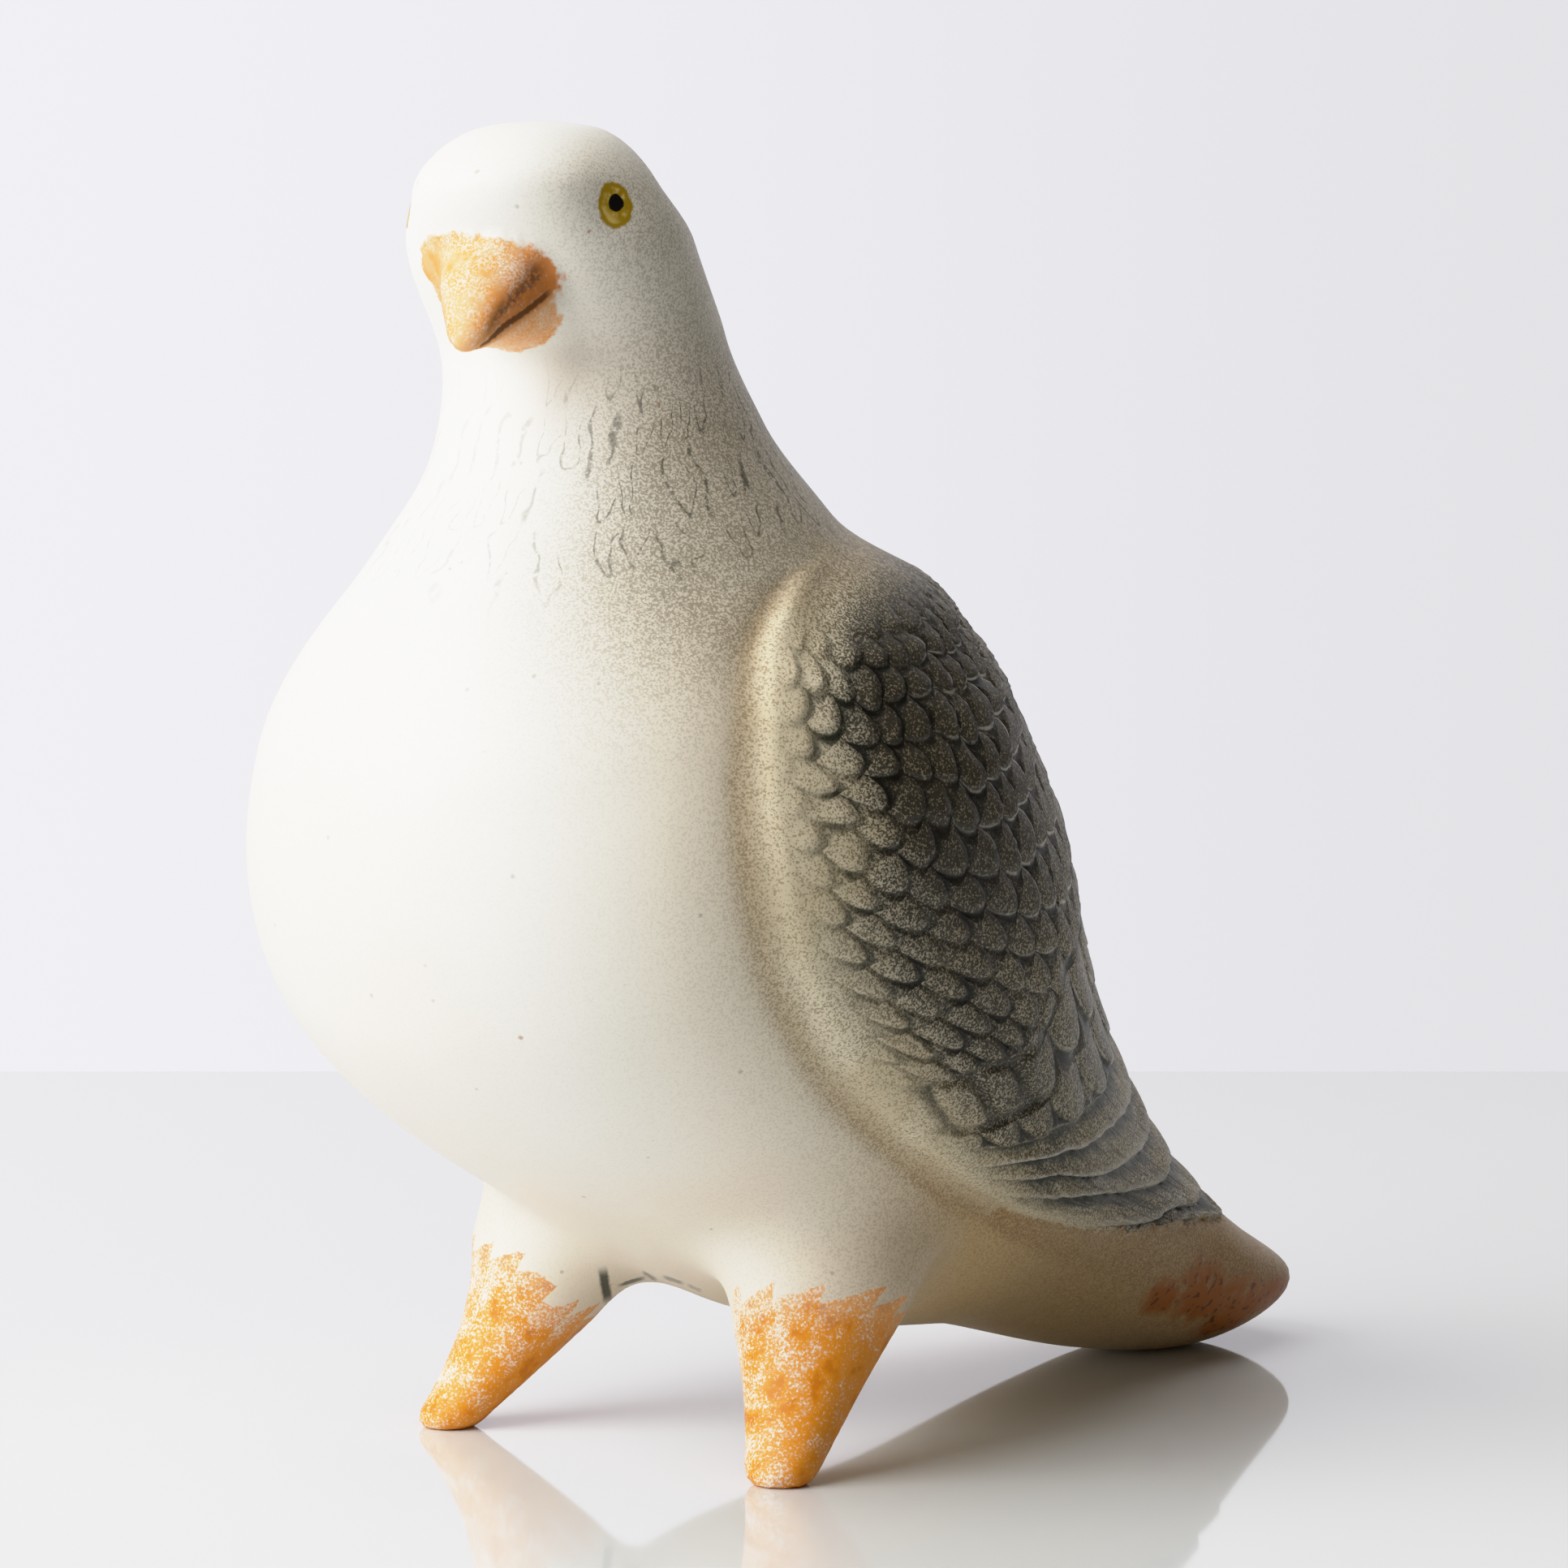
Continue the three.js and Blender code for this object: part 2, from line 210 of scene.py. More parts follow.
def surface_of(piece: Piece) -> BVHTree:
    """Makes a piece's surface searchable, in metres."""
    corners = [vertex.co.copy() for vertex in piece.data.vertices]
    return BVHTree.FromPolygons(corners, [tuple(face.vertices) for face in piece.data.polygons])


def nearest_on(surface: BVHTree, points: Array) -> tuple[Array, Array]:
    """Finds the nearest point of a surface for each point.

    Args:
        surface: The searchable surface.
        points: Points in mm.

    Returns:
        The nearest points and the distances to them, both in mm.
    """
    found = [surface.find_nearest(Vector(point)) for point in placed(points)]
    places = np.array([hit[0] for hit in found]) / MILLIMETRE + ORIGIN
    return places, np.array([hit[3] for hit in found]) / MILLIMETRE


@dataclass
class Body:
    """The body from crown to tail tip, lofted through named sections.

    A section has its share of the way from crown to tail, its middle, the lean of its plane in degrees,
    and its radius to the side, to the front and to the back. Angles run from 0 on the breast line over
    90 on the bird's left side to 180 on the back.
    """

    sections: Table = (
        # along, y, z, lean, side, front, back
        (0.0, -21, 270.5, 0, 0.5, 0.5, 0.5),
        (0.02, -21, 269, 2, 12.5, 13.5, 9),
        (0.06, -22, 258.5, 3, 24.5, 26.2, 20),
        (0.11, -16.5, 245.5, 5, 29, 26, 29),
        (0.17, -6, 226.5, 7, 29.5, 23, 31.5),
        (0.24, -4.5, 207, 8, 34.5, 30.5, 36),
        (0.32, -4.5, 186.5, 9, 47.5, 46, 48.5),
        (0.42, -1.5, 159.5, 17, 70.5, 73.5, 71.5),
        (0.53, 10, 130, 27, 80, 83.5, 77),
        (0.64, 39.5, 95, 48, 75.5, 65, 75),
        (0.74, 74.5, 63, 59, 62, 48, 61.5),
        (0.83, 114.5, 43.5, 72, 45, 31.5, 43),
        (0.9, 152, 28.5, 81, 34, 26, 24.5),
        (0.955, 184, 17.5, 85, 28, 17.8, 13.5),
        (0.985, 203.5, 14.5, 88, 19, 8, 6.5),
        (1.0, 208, 14.5, 90, 0.5, 0.5, 0.5),
    )
    head_turn: float = 17.0
    head_axis_y: float = -20.0
    neck_fixed_z: float = 195.0
    neck_turned_z: float = 240.0
    segments: int = 180
    rings: int = 220
    # Rows, degrees and refining turns of the search for the nearest place.
    search_rows: int = 121
    search_step: int = 4
    search_turns: int = 6

    def __post_init__(self) -> None:
        """Makes the curves through the sections. Radii blend by their squares, which rounds both ends."""
        table = np.array(self.sections)
        self.middle_y, self.middle_z, self.lean = (Curve(table[:, 0], table[:, i]) for i in (1, 2, 3))
        self.side, self.front, self.back = (Curve(table[:, 0], table[:, i] ** 2) for i in (4, 5, 6))

    def point(self, along: Array, angle: Array) -> Array:
        """Gives points of the body before the head is turned.

        Args:
            along: Shares of the way from crown to tail tip.
            angle: Angles round the body in degrees.

        Returns:
            The points in mm.
        """
        turn, lean = np.radians(angle), np.radians(self.lean(along))
        depth = np.sqrt(np.where(np.cos(turn) > 0, self.front(along), self.back(along)))
        forward = depth * np.cos(turn)
        side = np.sqrt(self.side(along)) * np.sin(turn)
        back = self.middle_y(along) - forward * np.cos(lean)
        return np.stack([side, back, self.middle_z(along) - forward * np.sin(lean)], -1)

    def turned(self, points: Array, whole: bool = False, back: bool = False) -> Array:
        """Turns the head to the bird's left.

        Args:
            points: Points in mm.
            whole: Whether all points turn fully, as those of the beak and the eyes do.
            back: Whether to undo the turn.

        Returns:
            The turned points.
        """
        share = np.ones(len(points)) if whole else ease(self.neck_fixed_z, self.neck_turned_z, points[:, 2])
        turn = np.radians(-self.head_turn if back else self.head_turn) * share
        x, y = points[:, 0], points[:, 1] - self.head_axis_y
        across, ahead = x * np.cos(turn) - y * np.sin(turn), x * np.sin(turn) + y * np.cos(turn)
        return np.stack([across, ahead + self.head_axis_y, points[:, 2]], -1)

    def surface(self, along: Array, angle: Array) -> Array:
        """Gives points of the body with the head turned, in mm."""
        return self.turned(self.point(along, angle))

    def coordinates(self, points: Array) -> tuple[Array, Array]:
        """Finds the place on the body that is nearest to each point.

        Args:
            points: Points in mm.

        Returns:
            The shares along the body and the angles round it in degrees.
        """
        lengths = (1 - np.cos(np.linspace(0, np.pi, self.search_rows))) / 2
        rows, columns = np.meshgrid(lengths, np.arange(-180, 180, self.search_step))
        rows, columns = rows.ravel(), columns.ravel()
        grid = self.surface(rows, columns)
        tree = KDTree(len(grid))
        for index, place in enumerate(grid):
            tree.insert(place, index)
        tree.balance()
        near = np.array([tree.find(point)[1] for point in points])
        along, angle = rows[near], columns[near].astype(float)
        share, degree, tiny = 1e-4, 0.05, 1e-6
        for _ in range(self.search_turns):
            # Steps down and round the surface that bring each place nearest to its point.
            here = self.surface(along, angle)
            down = (self.surface(np.minimum(along + share, 1), angle) - here) / share
            around = (self.surface(along, angle + degree) - here) / degree
            gap = points - here
            down_down, around_around = (down * down).sum(1) + tiny, (around * around).sum(1) + tiny
            down_around, down_gap, around_gap = ((one * two).sum(1) for one, two in (
                (down, around), (down, gap), (around, gap)))
            whole = down_down * around_around - down_around * down_around
            step_down = (around_around * down_gap - down_around * around_gap) / whole
            step_around = (down_down * around_gap - down_around * down_gap) / whole
            along = np.clip(along + np.clip(step_down, -0.02, 0.02), 0, 1)
            angle = angle + np.clip(step_around, -8, 8)
        return along, (angle + 180) % 360 - 180

    def build(self) -> Piece:
        """Makes the body's smooth form."""
        return shaped_ball("body_form", self.segments, self.rings, self.surface)


@dataclass
class Legs:
    """The two conical legs, from the flat soles up into the belly."""

    # z, x of the left leg, y, radius
    sections: Table = (
        (0, 46.5, -1, 5.2),
        (1.4, 46.3, -0.5, 6.8),
        (8, 44, 5, 9),
        (18, 40.5, 13, 12.4),
        (30, 37, 21, 17.5),
        (42, 34.5, 27.5, 23),
        (54, 32, 33, 25),
    )
    levels: tuple[float, ...] = (0, 0.3, 0.7, 1.4, 3, 5.5, 8, 11, 14.5, 18, 22, 26, 30, 34, 38, 42, 48, 54)
    facets: int = 72
    # Angle towards the other leg and height of the border of the orange paint.
    paint_border: Pairs = (
        (-180, 24), (-140, 26), (-115, 29.5), (-90, 32.5), (-60, 35), (-30, 35.5), (0, 34.5), (20, 33),
        (31, 30.5), (43, 27), (54, 24.5), (79, 23.5), (114, 21), (180, 24))

    def __post_init__(self) -> None:
        """Makes the curves through the sections."""
        table = np.array(self.sections)
        self.x, self.y, self.radius = (Curve(table[:, 0], table[:, i]) for i in (1, 2, 3))

    def build(self, side: int) -> Piece:
        """Draws one leg up from its sole.

        Args:
            side: 1 for the bird's left leg, -1 for its right one.

        Returns:
            The closed leg.
        """
        def middle(z: float) -> Vector:
            return Vector(placed(np.array([side * self.x(z), self.y(z), z])))

        bpy.ops.object.select_all(action="DESELECT")
        sole = float(self.radius(0)) * MILLIMETRE
        bpy.ops.mesh.primitive_circle_add(
            vertices=self.facets, radius=sole, fill_type="NGON", location=middle(0))
        leg = bpy.context.object
        bpy.ops.object.transform_apply(location=True, rotation=True, scale=True)
        bpy.ops.object.mode_set(mode="EDIT")
        bpy.ops.mesh.select_all(action="SELECT")
        for below, above in zip(self.levels, self.levels[1:]):
            grow = float(self.radius(above) / self.radius(below))
            step = middle(above) - middle(below)
            bpy.ops.mesh.extrude_region_move(TRANSFORM_OT_translate={"value": step})
            bpy.ops.transform.resize(value=(grow, grow, 1), center_override=middle(above))
        bpy.ops.object.mode_set(mode="OBJECT")
        face_outwards(leg)
        return leg

    def around(self, points: Array) -> Array:
        """Finds each point's place round the nearer leg.

        Args:
            points: Points in mm.

        Returns:
            The angles in degrees, 0 at the front and rising towards the bird's left.
        """
        side = np.where(points[:, 0] > 0, 1, -1)
        z = np.clip(points[:, 2], 0, self.levels[-1])
        return np.degrees(np.arctan2(points[:, 0] - side * self.x(z), self.y(z) - points[:, 1]))


@dataclass
class Beak:
    """The drooping beak, in the frame of the head before it is turned."""

    # y, z, half width, height above the middle line, depth below it
    sections: Table = (
        (-29, 241, 11.5, 8, 13),
        (-38, 238.5, 12.3, 10, 15),
        (-44, 234.5, 10.2, 8.6, 11),
        (-48.5, 230.4, 7.0, 6.0, 5.3),
        (-51.4, 227.8, 4.5, 3.8, 3.1),
        (-53.0, 226.3, 2.4, 2.0, 1.8),
        (-53.7, 225.6, 0.5, 0.5, 0.5),
    )
    droop: float = 36.0
    segments: int = 64
    rings: int = 60
    # Distance along the beak and height of the mouth and of the ridge above it.
    mouth: Pairs = ((0, 214.4), (13, 214.4), (17, 213.4), (20, 211.4), (22, 209))
    ridge: Pairs = ((0, 221.6), (6.5, 220.3), (11.4, 219.2), (16.5, 217), (20, 214.5))
    mouth_width: float = 0.7
    mouth_depth: float = 0.6
    flank_depth: float = 0.9
    # Where the distance forward along the beak starts, in mm behind the line between the soles.
    base_at: float = 110.0

    def __post_init__(self) -> None:
        """Makes the curves through the sections, spaced by the length between them."""
        table = np.array(self.sections)
        steps = np.hypot(np.diff(table[:, 0]), np.diff(table[:, 1]))
        along = np.concatenate([[0], np.cumsum(steps)]) / steps.sum()
        self.y, self.z = (Curve(along, table[:, i]) for i in (0, 1))
        self.side, self.rise, self.depth = (Curve(along, table[:, i] ** 2) for i in (2, 3, 4))
        self.mouth_height, self.ridge_height = Curve(*zip(*self.mouth)), Curve(*zip(*self.ridge))

    def carving(self, local: Array) -> tuple[Array, Array, Array]:
        """Gives the depth cut into the beak and the places across it.

        Args:
            local: Points in the beak's own frame.

        Returns:
            The depth in mm, the height over the mouth and the share of the way from it to the ridge.
        """
        aside, height, ahead = local.T
        over = height - self.mouth_height(ahead)
        share = over / (self.ridge_height(ahead) - self.mouth_height(ahead))
        mouth = self.mouth_depth * bump(over, self.mouth_width) * ease(1, 4, ahead)
        flank = self.flank_depth * bump(share - 0.55, 0.4) * ease(-3, 4, ahead) * (1 - ease(15, 20, ahead))
        return mouth + flank * ease(3, 7, np.abs(aside)), over, share

    def point(self, along: Array, angle: Array) -> Array:
        """Gives points of the beak.

        Args:
            along: Shares of the way from inside the face to the tip.
            angle: Angles round it in degrees, 0 on the underside.

        Returns:
            The points in mm, before the head is turned.
        """
        turn, droop = np.radians(angle), math.radians(self.droop)
        lift = -np.cos(turn) * np.sqrt(np.where(np.cos(turn) < 0, self.rise(along), self.depth(along)))
        side = np.sqrt(self.side(along)) * np.sin(turn)
        back = self.y(along) - lift * math.sin(droop)
        return np.stack([side, back, self.z(along) + lift * math.cos(droop)], -1)

    def build(self, body: Body) -> Piece:
        """Makes the beak's form on the turned head.

        Args:
            body: The body whose head carries it.

        Returns:
            The closed beak.
        """
        beak = shaped_ball("beak_form", self.segments, self.rings,
                           lambda along, angle: body.turned(self.point(along, angle), whole=True))
        face_outwards(beak)
        return beak

    def own_frame(self, body: Body, points: Array) -> Array:
        """Gives points in the beak's own frame.

        Args:
            body: The body whose head carries it.
            points: Points in mm.

        Returns:
            For each point its distance to the bird's left, its height across the beak and its distance
            forward along it from the base.
        """
        local = body.turned(points, whole=True, back=True)
        droop = math.radians(self.droop)
        sine, cosine = math.sin(droop), math.cos(droop)
        height = cosine * local[:, 2] - sine * local[:, 1]
        forward = self.base_at - cosine * local[:, 1] - sine * local[:, 2]
        return np.stack([local[:, 0], height, forward], -1)


@dataclass
class Plumage:
    """The wings: a raised front lip, rows of scales, a row of stamped leaves and tiers of long feathers.

    Rows start at the wing's front edge at a share of the body's length and slide towards the tail on
    their way to the back. A place on a wing has the share where its row starts and the fraction of the
    way from the front edge to the middle of the back.
    """

    # Share along the body and angle of the front edge.
    front_edge: Pairs = (
        (0.333, 108), (0.341, 91), (0.353, 83), (0.376, 74), (0.42, 68), (0.486, 63),
        (0.559, 60), (0.62, 57.5), (0.687, 61), (0.714, 64), (1, 72))
    right_set_back: float = 9.0
    top: float = 0.335
    slope_end: float = 0.714
    slope: float = 0.21
    slope_growth: float = 0.8
    slope_reach: float = 0.55
    # Halvings of the search for the row that runs through a place.
    halvings: int = 26
    # Fraction and row of each lower edge, from the top of the stamped leaves to the end of the wing.
    leaf_top: Pairs = (
        (0.0, 0.6), (0.079, 0.5906), (0.141, 0.58), (0.209, 0.5728), (0.311, 0.5536), (0.36, 0.545))
    leaf_end: Pairs = (
        (0.0, 0.63), (0.094, 0.6177), (0.157, 0.604), (0.231, 0.591), (0.325, 0.5745), (0.45, 0.571))
    tier_edges: tuple[Pairs, ...] = (
        ((0.0, 0.64), (0.06, 0.634), (0.1, 0.6283), (0.175, 0.6166), (0.227, 0.608), (0.304, 0.603)),
        ((0.0, 0.655), (0.05, 0.651), (0.09, 0.643), (0.17, 0.63), (0.23, 0.623), (0.3, 0.622), (0.44, 0.63),
         (0.51, 0.634)),
        ((0.0, 0.672), (0.07, 0.659), (0.12, 0.653), (0.17, 0.645), (0.23, 0.651), (0.36, 0.655),
         (0.48, 0.653)),
        ((0.0, 0.69), (0.06, 0.679), (0.12, 0.676), (0.19, 0.677), (0.3, 0.684), (0.38, 0.681),
         (0.44, 0.675)),
        ((0.0, 0.714), (0.03, 0.727), (0.06, 0.77), (0.12, 0.776), (0.2, 0.76), (0.3, 0.715), (0.45, 0.703)),
        ((0.0, 0.716), (0.03, 0.73), (0.06, 0.776), (0.12, 0.784), (0.2, 0.773), (0.29, 0.756), (0.4, 0.739),
         (0.5, 0.733)))
    scale_length: float = 7.0
    scale_width: float = 8.5
    # Distance in mm behind the front edge of the middle of each stamped leaf.
    leaf_middles: tuple[float, ...] = (
        -5, 4.6, 14.1, 23.6, 34.7, 48.8, 62, 74.5, 87, 99.5, 112, 124.5, 137, 150)
    # Share of a row's length by which a scale's round tip reaches into the next row.
    tip_reach: float = 0.85
    tip_height: float = 0.6
    scale_camber: float = 2.6
    root_depth: float = 1.5
    tier_crest: float = 1.5
    tier_foot: float = 0.8
    # Thickness in mm of a tier that has its full crest, and share along the body that counts as one
    # tier outside the first and the last one.
    full_tier: float = 7.0
    outer_tier: float = 0.02
    lip_profile: Pairs = (
        (-18, 0), (-10, -0.4), (-4, -1.0), (-0.5, -0.6), (3.5, 0.9), (7, 1.1), (13, 0.6), (21, 0))

    def __post_init__(self) -> None:
        """Makes the curves of the edges."""
        self.edge_angle = Curve(*zip(*self.front_edge))
        self.leaf_top_row, self.leaf_end_row = Curve(*zip(*self.leaf_top)), Curve(*zip(*self.leaf_end))
        self.tier_rows = [Curve(*zip(*edge)) for edge in self.tier_edges]
        self.lip = Curve(*zip(*self.lip_profile))
        self.leaf_column = Curve(self.leaf_middles, range(-1, len(self.leaf_middles) - 1))

    def row_along(self, row: Array, fraction: Array) -> Array:
        """Gives the share along the body of a place on a row.

        Args:
            row: The share where the row starts.
            fraction: Its fraction of the way to the middle of the back.

        Returns:
            The shares along the body.
        """
        slide = np.where(row < self.slope_end,
                         self.slope * ease(self.top, self.slope_end, row) ** self.slope_growth,
                         self.slope * (1 - row) / (1 - self.slope_end))
        climb = np.sin(np.clip(fraction / self.slope_reach, 0, 1) * math.pi / 2)
        return np.minimum(row + slide * climb, 1)

    def places(self, along: Array, angle: Array) -> tuple[Array, Array]:
        """Finds the row and fraction of places on the body.

        Args:
            along: Shares along the body.
            angle: Angles in degrees.

        Returns:
            The row and the fraction, below 0 in front of the wing.
        """
        set_back = np.where(angle < 0, self.right_set_back, 0)
        folded = np.abs(angle)
        low, high = np.full(len(along), 0.05), np.ones(len(along))
        for _ in range(self.halvings):
            row = (low + high) / 2
            edge = self.edge_angle(row) + set_back
            short = self.row_along(row, (folded - edge) / (180 - edge)) < along
            low, high = np.where(short, row, low), np.where(short, high, row)
        edge = self.edge_angle(low) + set_back
        return low, (folded - edge) / (180 - edge)

    def maps(self, along: Array, angle: Array) -> dict[str, Array]:
        """Gives the pattern coordinates of places on the body.

        Args:
            along: Shares along the body.
            angle: Angles in degrees.

        Returns:
            Named arrays: the scales' and leaves' lattices, the tier count, the masks and the lip.
        """
        row, fraction = self.places(along, angle)
        across, down = fraction * WING_GIRTH, (row - self.top) * BODY_LENGTH
        # Waves in mm that keep the rows and the columns of scales from being straight.
        sway = 1.3 * np.sin(across / 4.1 + 1.6 * np.sin(down / 7)) * np.sin(down / 5.3 + 0.7)
        sway = sway + np.sin(across / 9 - down / 11)
        stray = 1.4 * np.sin(down / 4.3 + 1.7 * np.sin(across / 8)) * np.cos(across / 5.2)
        stray = stray + np.cos(across / 10 + down / 7)
        # Distances in mm along and across the scales, which slant and fan out as they go down the wing.
        reach = np.minimum(across, 105)
        run = 0.68 * across + 0.62 * down + 0.0018 * down ** 2 + 0.003 * reach ** 2 - 0.004 * reach * down
        spread = 0.9 * across - 0.00275 * reach ** 2 - 0.85 * down + 0.0015 * down ** 2
        low = np.maximum(down - 50, 0)
        run = run + 0.002 * low ** 2 + 0.002 * reach * low
        spread = spread - 0.003 * low ** 2 + 0.004 * reach * low
        calm = 1 - 0.55 * ease(45, 75, down)
        # Leaves are counted up to the first tier, and tiers from there on.
        edges = [edge(fraction) for edge in self.tier_rows]
        leaf_top, leaf_end = self.leaf_top_row(fraction), self.leaf_end_row(fraction)
        leaf = np.where(row < leaf_end, (row - leaf_top) / (leaf_end - leaf_top),
                        1 + (row - leaf_end) / (edges[0] - leaf_end))
        tier = (row - edges[0]) / self.outer_tier
        thickness = np.full(len(row), self.full_tier)
        for count, (above, below) in enumerate(zip(edges, edges[1:])):
            tier = np.where(row >= above, count + (row - above) / (below - above), tier)
            thickness = np.where(row >= above, (below - above) * BODY_LENGTH, thickness)
        tier = np.where(row >= edges[-1], len(edges) - 1 + (row - edges[-1]) / self.outer_tier, tier)
        on_wing = ease(-0.004, 0.006, fraction) * ease(self.top, self.top + 0.012, row)
        return {
            "row": row, "fraction": fraction, "across": across, "down": down,
            "tier": tier, "thickness": thickness,
            "scale_p": (run + sway * calm) / self.scale_length,
            "scale_q": (spread + stray * calm) / self.scale_width,
            "leaf": leaf, "leaf_p": leaf + self.tip_reach - 2, "leaf_q": self.leaf_column(across),
            "is_leaf": ease(leaf_top - 0.004, leaf_top + 0.004, row),
            "is_tier": ease(-0.06, 0.06, tier),
            "on_wing": on_wing * (1 - ease(len(edges) - 1.12, len(edges) - 0.98, tier)),
            "texture": ease(0.362, 0.4, row) * ease(0.02, 0.1, fraction),
            "stamped": ease(0.03, 0.07, fraction) * (1 - ease(0.2, 0.26, fraction)) * ease(-0.1, 0.02, leaf)
            * (1 - ease(1.02, 1.12, leaf)),
            "painted": ease(-0.06, 0.03, fraction) * ease(self.top - 0.01, self.top + 0.04, row)
            * (1 - ease(len(edges) - 1.05, len(edges) - 0.9, tier)),
        }

    def scale_height(self, p: Array, q: Array) -> Array:
        """Gives the height of overlapping round-tipped scales.

        Args:
            p: Rows, counted towards the tips.
            q: Columns.

        Returns:
            The height in mm.
        """
        row = np.floor(p)
        ahead = p - row
        beside = (q + 0.5 * (row % 2)) % 1 - 0.5
        reach = np.hypot(ahead / self.tip_reach, 2 * beside)
        below = ease(0.93, 1.07, reach)
        other = np.abs(beside) - 0.5
        whole = 1 + self.tip_reach

        def height(run: Array, side: Array) -> Array:
            climb = (self.tip_height + self.root_depth) * np.sqrt(np.clip(run / whole, 0, 1))
            return -self.root_depth + climb - self.scale_camber * side ** 2

        rim = 0.25 * bump(1 - reach, 0.14)
        return (1 - below) * (height(ahead + 1, beside) + rim) + below * height(ahead, other)

    def relief(self, maps: dict[str, Array]) -> Array:
        """Gives the height of the feather relief.

        Args:
            maps: The pattern coordinates.

        Returns:
            The height in mm.
        """
        scales = self.scale_height(maps["scale_p"], maps["scale_q"])
        leaves = self.scale_height(maps["leaf_p"], maps["leaf_q"])
        part = maps["tier"] % 1
        strength = np.clip(maps["thickness"] / self.full_tier, 0.15, 1)
        strength = strength * (0.15 + 0.85 * ease(0.03, 0.2, maps["fraction"]))
        tiers = strength * (-self.tier_foot + (self.tier_crest + self.tier_foot) * part ** 0.8
                            * (1 - ease(0.84, 1, part)))
        aside = np.abs((maps["leaf_q"] + 0.5) % 1 - 0.5) * 2
        ends = np.maximum(2 * maps["leaf"] - 1, 0.8 - 1.6 * maps["leaf"])
        away = (aside ** 4 + np.clip(ends, 0, 2) ** 4) ** 0.25
        stamps = self.tip_height - 1.5 * ease(0.62, 0.88, away)
        feathers = scales * (1 - maps["is_leaf"]) + leaves * maps["is_leaf"]
        feathers = feathers * (1 - maps["stamped"]) + stamps * maps["stamped"]
        feathers = feathers * (1 - maps["is_tier"]) + tiers * maps["is_tier"]
        below = (maps["tier"] - (len(self.tier_edges) - 1)) * self.outer_tier * BODY_LENGTH
        lip = self.lip(maps["across"]) * ease(0.322, 0.345, maps["row"]) * (1 - ease(0.7, 0.74, maps["row"]))
        valley = -0.7 * bump(below - 1.2, 3.0) * ease(0, 0.02, maps["fraction"])
        middle = -1.2 * bump((1 - maps["fraction"]) * WING_GIRTH, 3.5) * maps["on_wing"]
        return feathers * maps["texture"] * maps["on_wing"] + lip + valley + middle


